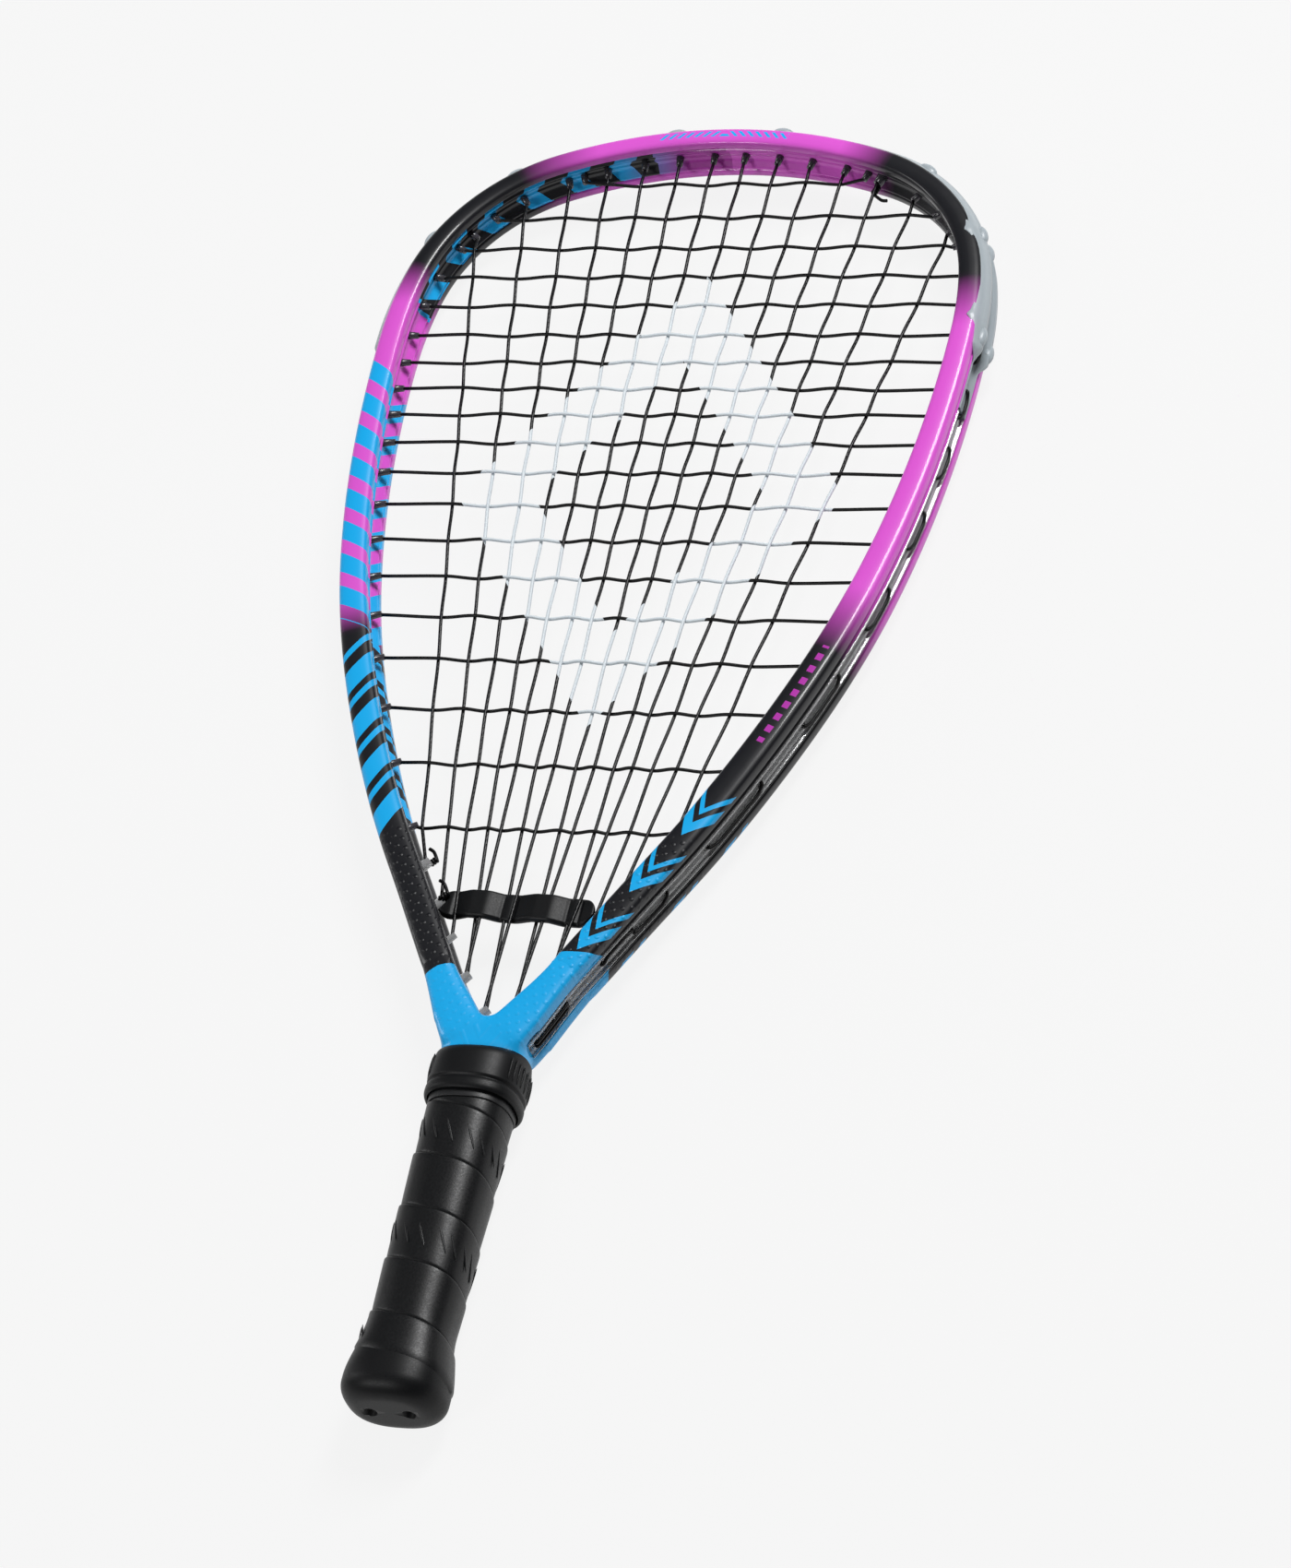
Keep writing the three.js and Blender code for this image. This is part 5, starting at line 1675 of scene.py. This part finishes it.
@dataclass
class Handle:
    """Butt cap, spiral wrap and collar."""

    columns: int = 128
    box_share: float = 0.8
    cap_half_width: float = 18.3
    cap_half_depth: float = 15.7
    cap_edge: float = 7.5
    tether_spacing: float = 14.0
    tether_radius: float = 2.5
    tether_depth: float = 9.0
    cap_belly: float = 9.0
    cap_sleeve: float = 31.0
    cap_top: float = 26.0
    cap_face_shares: tuple[float, ...] = (0.12, 0.5, 0.8)
    sleeve_half_width: float = 12.7
    sleeve_half_depth: float = 11.0
    skin: float = 1.7
    lap: float = 0.6
    laps: range = range(-2, 7)
    under: float = 0.15
    taper: float = 8.0
    taper_floor: float = 0.25
    pitch: float = 20.6
    turn_share: float = 0.52
    start: float = 15.0
    start_lean: float = 4.2
    lap_profile: tuple[tuple[float, float], ...] = (
        (0.0, -0.35), (0.006, -0.3), (0.016, 0.0), (0.06, 0.12), (0.15, 0.26), (0.3, 0.42),
        (0.45, 0.56), (0.6, 0.7), (0.75, 0.84), (0.87, 0.95), (0.94, 1.0), (0.972, 0.97),
        (0.986, 0.86), (0.994, 0.62), (0.998, 0.2),
    )
    mark_laps: range = range(-1, 5, 2)
    mark_step: float = 0.125
    mark_pair: float = 0.42
    mark_seat: float = 0.66
    mark_margin: float = 8.0
    mark_lean: float = 0.45
    mark_size: tuple[float, float, float] = (0.28, 0.42, 5.2)
    end: float = 123.5
    tape_profile: tuple[tuple[float, float], ...] = (
        (116.5, 0.0), (116.6, 0.25), (118.5, 0.25), (123.9, 0.2), (123.9, -0.4),
    )
    collar_top: float = 138.4
    collar_length: float = 19.4
    collar_lift: float = 1.2
    collar_wall: float = 1.0
    collar_bead: float = 0.6
    collar_lip: float = 1.2
    collar_groove: float = 5.0
    neck_half_width: float = 15.9
    neck_half_depth: float = 10.4
    rib_count: int = 9
    rib_spread: float = 0.62
    rib_size: tuple[float, float, float] = (0.45, 0.5, 4.4)

    def flare(self, y: Any) -> tuple[np.ndarray, np.ndarray]:
        """Half sizes of the flared end under the wrap."""
        share = 1 - smoothstep(y, self.cap_belly, self.cap_sleeve + 2)
        wide, deep = self.sleeve_half_width, self.sleeve_half_depth
        wide = wide + (self.cap_half_width - self.skin - wide) * share
        deep = deep + (self.cap_half_depth - self.skin - deep) * share
        return wide, deep

    def at_turn(
        self, angle: float, y: float, size: Sequence[float],
    ) -> tuple[np.ndarray, np.ndarray]:
        """Gives a point of the rounded box section and the outward direction there.

        Args:
            angle: Turn around the handle in radians, from its right side.
            y: Height of the section in mm.
            size: Half width and half depth of the section in mm.

        Returns:
            Point and unit direction.
        """
        x, z = squared(np.array((math.cos(angle), math.sin(angle))), self.box_share)
        way = np.array((x / size[0], 0, z / size[1]))
        return np.array((x * size[0], y, z * size[1])), way / np.linalg.norm(way)

    def cap(self, material: bpy.types.Material) -> bpy.types.Object:
        """Builds the butt cap: a bulb with a flat end and two tether holes."""
        size = np.array((self.cap_half_width, self.cap_half_depth))
        rows = [(0.0, *(size - self.cap_edge) * share) for share in self.cap_face_shares]
        for turn in np.linspace(0, math.pi / 2, 14):
            inset = self.cap_edge * (1 - math.sin(turn))
            rows.append((self.cap_edge * (1 - math.cos(turn)), *size - inset))
        for y in np.linspace(self.cap_edge + 0.6, self.cap_top, 36):
            wide, deep = map(float, self.flare(y))
            rows.append((y, wide + self.skin, deep + self.skin))
        rows.append((self.cap_top, wide - 2, deep - 2))
        rings = boxy_rings(rows, self.columns, self.box_share)
        bulb = Sheet(rings, closed_columns=True, caps=True)
        made = make_object("butt_cap_bulb", [bulb], material)
        turn = np.arange(40) / 40 * FULL_TURN
        circle = self.tether_radius * np.stack([np.cos(turn), 0 * turn, -np.sin(turn)], 1)
        drills = []
        for side in Side:
            middle = side.value * self.tether_spacing / 2
            rings = np.array([circle + (middle, y, 0) for y in (-2.0, self.tether_depth)])
            drills.append(Sheet(rings, closed_columns=True, caps=True))
        drill = make_object("tether_drill", drills, material)
        cut = made.modifiers.new("tether_holes", "BOOLEAN")
        cut.operation, cut.object, cut.solver = "DIFFERENCE", drill, "EXACT"
        made.data = evaluated(made)
        made.modifiers.clear()
        bpy.data.objects.remove(drill)
        return made

    def wrap(self, material: bpy.types.Material) -> bpy.types.Object:
        """Builds the wrap: helical rows that rise to each lap's upper edge."""
        profile = self.lap_profile
        shares = [(lap + share, height) for lap in self.laps for share, height in profile]
        cut = self.columns // 2
        order = np.concatenate([np.arange(cut, self.columns), np.arange(0, cut + 1)])
        turn = order / self.columns
        angle = turn * FULL_TURN
        turn[:cut] -= 1
        x, z = squared(np.cos(angle), self.box_share), squared(np.sin(angle), self.box_share)
        low = self.start - 0.5 - self.start_lean * np.cos(angle)
        grid = []
        for share, height in shares:
            y = self.start + self.pitch * (share + turn + self.turn_share)
            kept = np.clip(y, low, self.end)
            taper = smoothstep(self.end - kept, 0, self.taper)
            taper = self.taper_floor + (1 - self.taper_floor) * taper
            start = smoothstep(kept - low, 0.0, 0.5)
            wide, deep = self.flare(kept)
            lift = self.lap * height * taper * start - 0.5 * (1 - start)
            out = self.skin + lift + self.under * start
            grid.append(np.stack([x * (wide + out), kept, z * (deep + out)], 1))
        shell = make_object("grip_wrap_shell", [Sheet(np.array(grid))], material, weld=0.01)
        return joined(shell, [self.marks(material)])

    def marks(self, material: bpy.types.Material) -> bpy.types.Object:
        """Makes the slanted raised bars moulded on every other lap."""
        points, ways = [], []
        for lap in self.mark_laps:
            for turn in np.arange(-0.5, 0.5, self.mark_step):
                for shift in (0.0, self.mark_step * self.mark_pair):
                    y = self.start + self.pitch * (lap + 0.5 + turn + shift + self.turn_share)
                    if not self.start + self.mark_margin < y < self.end - self.mark_margin:
                        continue
                    out = self.skin + self.lap * self.mark_seat + self.under
                    size = [half + out for half in self.flare(y)]
                    point, way = self.at_turn((turn + shift) * FULL_TURN, y, size)
                    points.append(point)
                    ways.append(way)
        lean = np.cross(ways, (0, 1, 0)) * self.mark_lean + (0, 1, 0)
        return domes("wrap_marks", points, ways, lean, self.mark_size, material)

    def tape(self, material: bpy.types.Material) -> bpy.types.Object:
        """Builds the tape over the wrap's end, with the slight ridge of its overlap."""
        over = self.skin + self.lap
        wide, deep = self.sleeve_half_width + over, self.sleeve_half_depth + over
        rows = [(y, wide + out, deep + out) for y, out in self.tape_profile]
        return self.band("tape_band", rows, 0.2, 4, material)

    def band(
        self, name: str, rows: Sequence[Sequence[float]], radii: Any, steps: int,
        material: bpy.types.Material,
    ) -> bpy.types.Object:
        """Makes a closed band round the handle from the rows of its profile."""
        rings = boxy_rings(rounded(rows, radii, steps=steps), self.columns, self.box_share)
        return make_object(name, [Sheet(rings, closed_columns=True)], material)

    def collar(self, material: bpy.types.Material) -> bpy.types.Object:
        """Builds the collar: a band, a groove and a bead, open for the arms at its top."""
        over = self.skin + self.collar_lift
        wide, deep = self.sleeve_half_width + over, self.sleeve_half_depth + over
        bottom, top = self.collar_top - self.collar_length, self.collar_top
        groove = bottom + self.collar_groove
        wall, bead, lip = self.collar_wall, self.collar_bead, self.collar_lip

        def ring(y: float, out: float) -> tuple[float, float, float]:
            """One row of the collar's profile."""
            return (y, wide + wall + out, deep + wall + out)

        neck = (self.neck_half_width, self.neck_half_depth)
        corners = [
            (bottom, wide + 0.3, deep + 0.3), ring(bottom, 0), ring(bottom + lip, bead),
            ring(groove - lip, bead), ring(groove, -0.1), ring(groove + lip * 0.7, bead),
            ring((groove + top) / 2, bead), ring(top - lip * 2, 0.1),
            (top, neck[0] + 0.8, neck[1] + 0.8), (top, *neck), (top - 6, *neck),
        ]
        radii = [0, 0.4, 0.9, 0.9, 0.4, 0.5, 4, 2.4, 0.8, 0.4, 0]
        band = self.band("grip_collar_band", corners, radii, 7, material)
        return joined(band, [self.side_ribs(ring(0, bead)[1:], material)])

    def side_ribs(self, size: Sequence[float], material: bpy.types.Material) -> bpy.types.Object:
        """Makes the upright ribs on the two narrow sides of the collar's section."""
        points, outwards = [], []
        middle = self.collar_top - (self.collar_length - self.collar_groove) / 2 - 0.8
        for side in Side:
            for turn in np.linspace(-self.rib_spread, self.rib_spread, self.rib_count):
                point, way = self.at_turn(turn, middle, size)
                points.append(point * (side.value, 1, 1))
                outwards.append(way * (side.value, 1, 1))
        return domes("collar_ribs", points, outwards, (0, 1, 0), self.rib_size, material)


@dataclass(frozen=True)
class Lamp:
    """Area lamp that faces the racket's middle, in metres and watts."""

    name: str
    place: tuple[float, float, float]
    size: tuple[float, float]
    energy: float

    def build(self, target: Sequence[float]) -> None:
        """Adds the lamp, turned towards a target."""
        data = bpy.data.lights.new(self.name, "AREA")
        data.shape = "RECTANGLE"
        data.size, data.size_y = self.size
        data.energy = self.energy
        way = Vector(target) - Vector(self.place)
        turn = way.to_track_quat("-Z", "Y").to_matrix().to_4x4()
        linked(self.name, data).matrix_world = Matrix.Translation(self.place) @ turn


@dataclass(frozen=True)
class Studio:
    """Pale floor, soft lamps and the camera of the photograph, in metres."""

    focal_pixels: float = 6293.55
    picture_height: float = 1700.0
    sensor: float = 36.0
    clip: tuple[float, float] = (0.1, 20.0)
    place: tuple[float, float, float] = (0.7427, -0.8262, 1.6032)
    axes: tuple[tuple[float, float, float], ...] = (
        (0.93833, 0.21537, -0.27049), (0.02548, -0.82325, -0.56711), (-0.34481, 0.52524, -0.77796),
    )
    target: tuple[float, float, float] = (0, 0.28, 0)
    pale: str = "F7F7F7"
    world_strength: float = 0.1
    floor_reach: float = 40.0
    floor_z: float = -0.0172
    floor_roughness: float = 0.9
    floor_specular: float = 0.1
    glow_share: float = 0.95
    glow: float = 0.99
    lamps: tuple[Lamp, ...] = (
        Lamp("softbox", (0.62, 1.24, 1.55), (0.45, 0.9), 39),
        Lamp("fill", (-0.9, -1.2, 1.5), (0.5, 0.5), 12),
        Lamp("edge", (-1.8, 0.4, 0.9), (0.3, 1.4), 7),
    )

    def camera(self) -> None:
        """Sets the camera at the photograph's place and angle."""
        data = bpy.data.cameras.new("camera")
        data.sensor_width = self.sensor
        data.lens = self.focal_pixels / self.picture_height * self.sensor
        data.clip_start, data.clip_end = self.clip
        right, down, ahead = (Vector(axis) for axis in self.axes)
        turn = Matrix((right, -down, -ahead)).transposed().to_4x4()
        made = linked("camera", data)
        made.matrix_world = Matrix.Translation(self.place) @ turn
        bpy.context.scene.camera = made

    def backdrop(self) -> bpy.types.Material:
        """Makes the floor's paper: an even glow to camera, mirror and glass, and a faint shadow."""
        material = bpy.data.materials.new("matt_paper_backdrop")
        material.use_nodes = True
        tree = material.node_tree
        shader = tree.nodes["Principled BSDF"]
        shader.inputs["Base Color"].default_value = linear(self.pale)
        shader.inputs["Roughness"].default_value = self.floor_roughness
        shader.inputs["Specular IOR Level"].default_value = self.floor_specular
        rays = add_node(tree, "ShaderNodeLightPath").node.outputs
        seen = rays["Is Camera Ray"]
        for ray in ("Is Glossy Ray", "Is Transmission Ray"):
            seen = add_node(tree, "ShaderNodeMath", seen, rays[ray], operation="MAXIMUM")
        share = add_node(tree, "ShaderNodeMath", seen, self.glow_share, operation="MULTIPLY")
        glow = add_node(tree, "ShaderNodeEmission", linear(self.pale), self.glow)
        both = add_node(tree, "ShaderNodeMixShader", share, shader.outputs[0], glow)
        tree.links.new(both, tree.nodes["Material Output"].inputs[0])
        return material

    def floor(self) -> None:
        """Adds the floor just under the racket's back."""
        mesh = bpy.data.meshes.new("floor")
        corners = ((-1, -1), (1, -1), (1, 1), (-1, 1))
        points = [(x * self.floor_reach, y * self.floor_reach, self.floor_z) for x, y in corners]
        mesh.from_pydata(points, [], [(0, 1, 2, 3)])
        mesh.materials.append(self.backdrop())
        linked("floor", mesh)

    def world(self) -> None:
        """Sets an even pale world."""
        world = bpy.data.worlds.new("studio")
        world.use_nodes = True
        shade = world.node_tree.nodes["Background"]
        shade.inputs["Color"].default_value = linear(self.pale)
        shade.inputs["Strength"].default_value = self.world_strength
        bpy.context.scene.world = world

    def build(self) -> None:
        """Builds the studio."""
        self.camera()
        self.floor()
        self.world()
        for lamp in self.lamps:
            lamp.build(self.target)
        bpy.context.scene.view_settings.view_transform = "Standard"


@dataclass(frozen=True)
class Racket:
    """The whole racket, from the frame to the handle."""

    guard_drop: float = 130.0
    trim_margin: float = 3.0
    throat_share: float = 0.8

    def build(self) -> None:
        """Builds and registers every piece in order."""
        hoop = Hoop()
        lay = Stringing(hoop)
        guard_foot = hoop.crown_outer - self.guard_drop
        guard_end = Stringing.solve(lambda at: float(hoop.frame_at(at)[0][0, 1]) - guard_foot, 0, 1)
        last_exit = lay.exit_of(lay.main_holes[lay.middle]["foot"], 0)
        shell = PaintedFrame(hoop, float(hoop.place_of(hoop.run(last_exit) + self.trim_margin)))
        register(shell.build(PAINT.make()), Slot.FRAME, "frame")
        self.trim(ChannelTrim(shell, lay, guard_end))
        bed = StringBed(lay)
        mains = bed.tube("mains_run", lay.line(lay.main_path()), TWISTED_STRING.make())
        register(mains, Slot.STRING, "main_string")
        crosses = bed.tube("crosses_run", lay.line(lay.cross_path()), COATED_STRING.make())
        register(crosses, Slot.STRING, "cross_string")
        rubber = RUBBER.make()
        register(Damper(lay).build(rubber), Slot.RUBBER, "string_damper")
        handle = Handle()
        register(handle.cap(rubber), Slot.RUBBER, "butt_cap")
        register(handle.wrap(TACKY_RUBBER.make()), Slot.RUBBER, "grip_wrap")
        register(handle.collar(rubber), Slot.RUBBER, "grip_collar")
        register(handle.tape(VINYL.make()), Slot.TAPE, "finishing_tape")
        foam = FOAM.make()
        for node in ("pallet_front", "pallet_back"):
            own = bpy.data.objects[node].data.materials
            own.clear()
            own.append(foam)

    def trim(self, trim: ChannelTrim) -> None:
        """Builds the guard, the strips and their barrels."""
        clear, smoky = CLEAR_NYLON.make(), SMOKY_NYLON.make()
        end, throat = trim.guard_end, self.throat_share
        register(trim.guard(FROSTED_NYLON.make()), Slot.CLEAR, "bumper_guard")
        head = trim.barrels("guard_barrels", lambda hole: abs(hole.place) < end, smoky)
        register(head, Slot.CLEAR)
        for side in Side:
            name, way = side.name.lower(), side.value
            register(trim.strip(side, clear), Slot.CLEAR, f"{name}_grommet_strip")
            parts = (
                ("barrels", lambda hole: end < hole.place * way < throat, smoky),
                ("throat_barrels", lambda hole: hole.place * way > throat, clear),
            )
            for part, wanted, material in parts:
                register(trim.barrels(f"{name}_{part}", wanted, material), Slot.CLEAR)


def main() -> None:
    """Builds the racket and its studio."""
    logging.basicConfig(level=logging.INFO, format="%(name)s %(message)s")
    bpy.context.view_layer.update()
    Studio().build()
    Racket().build()
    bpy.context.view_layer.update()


if __name__ == "__main__":
    main()
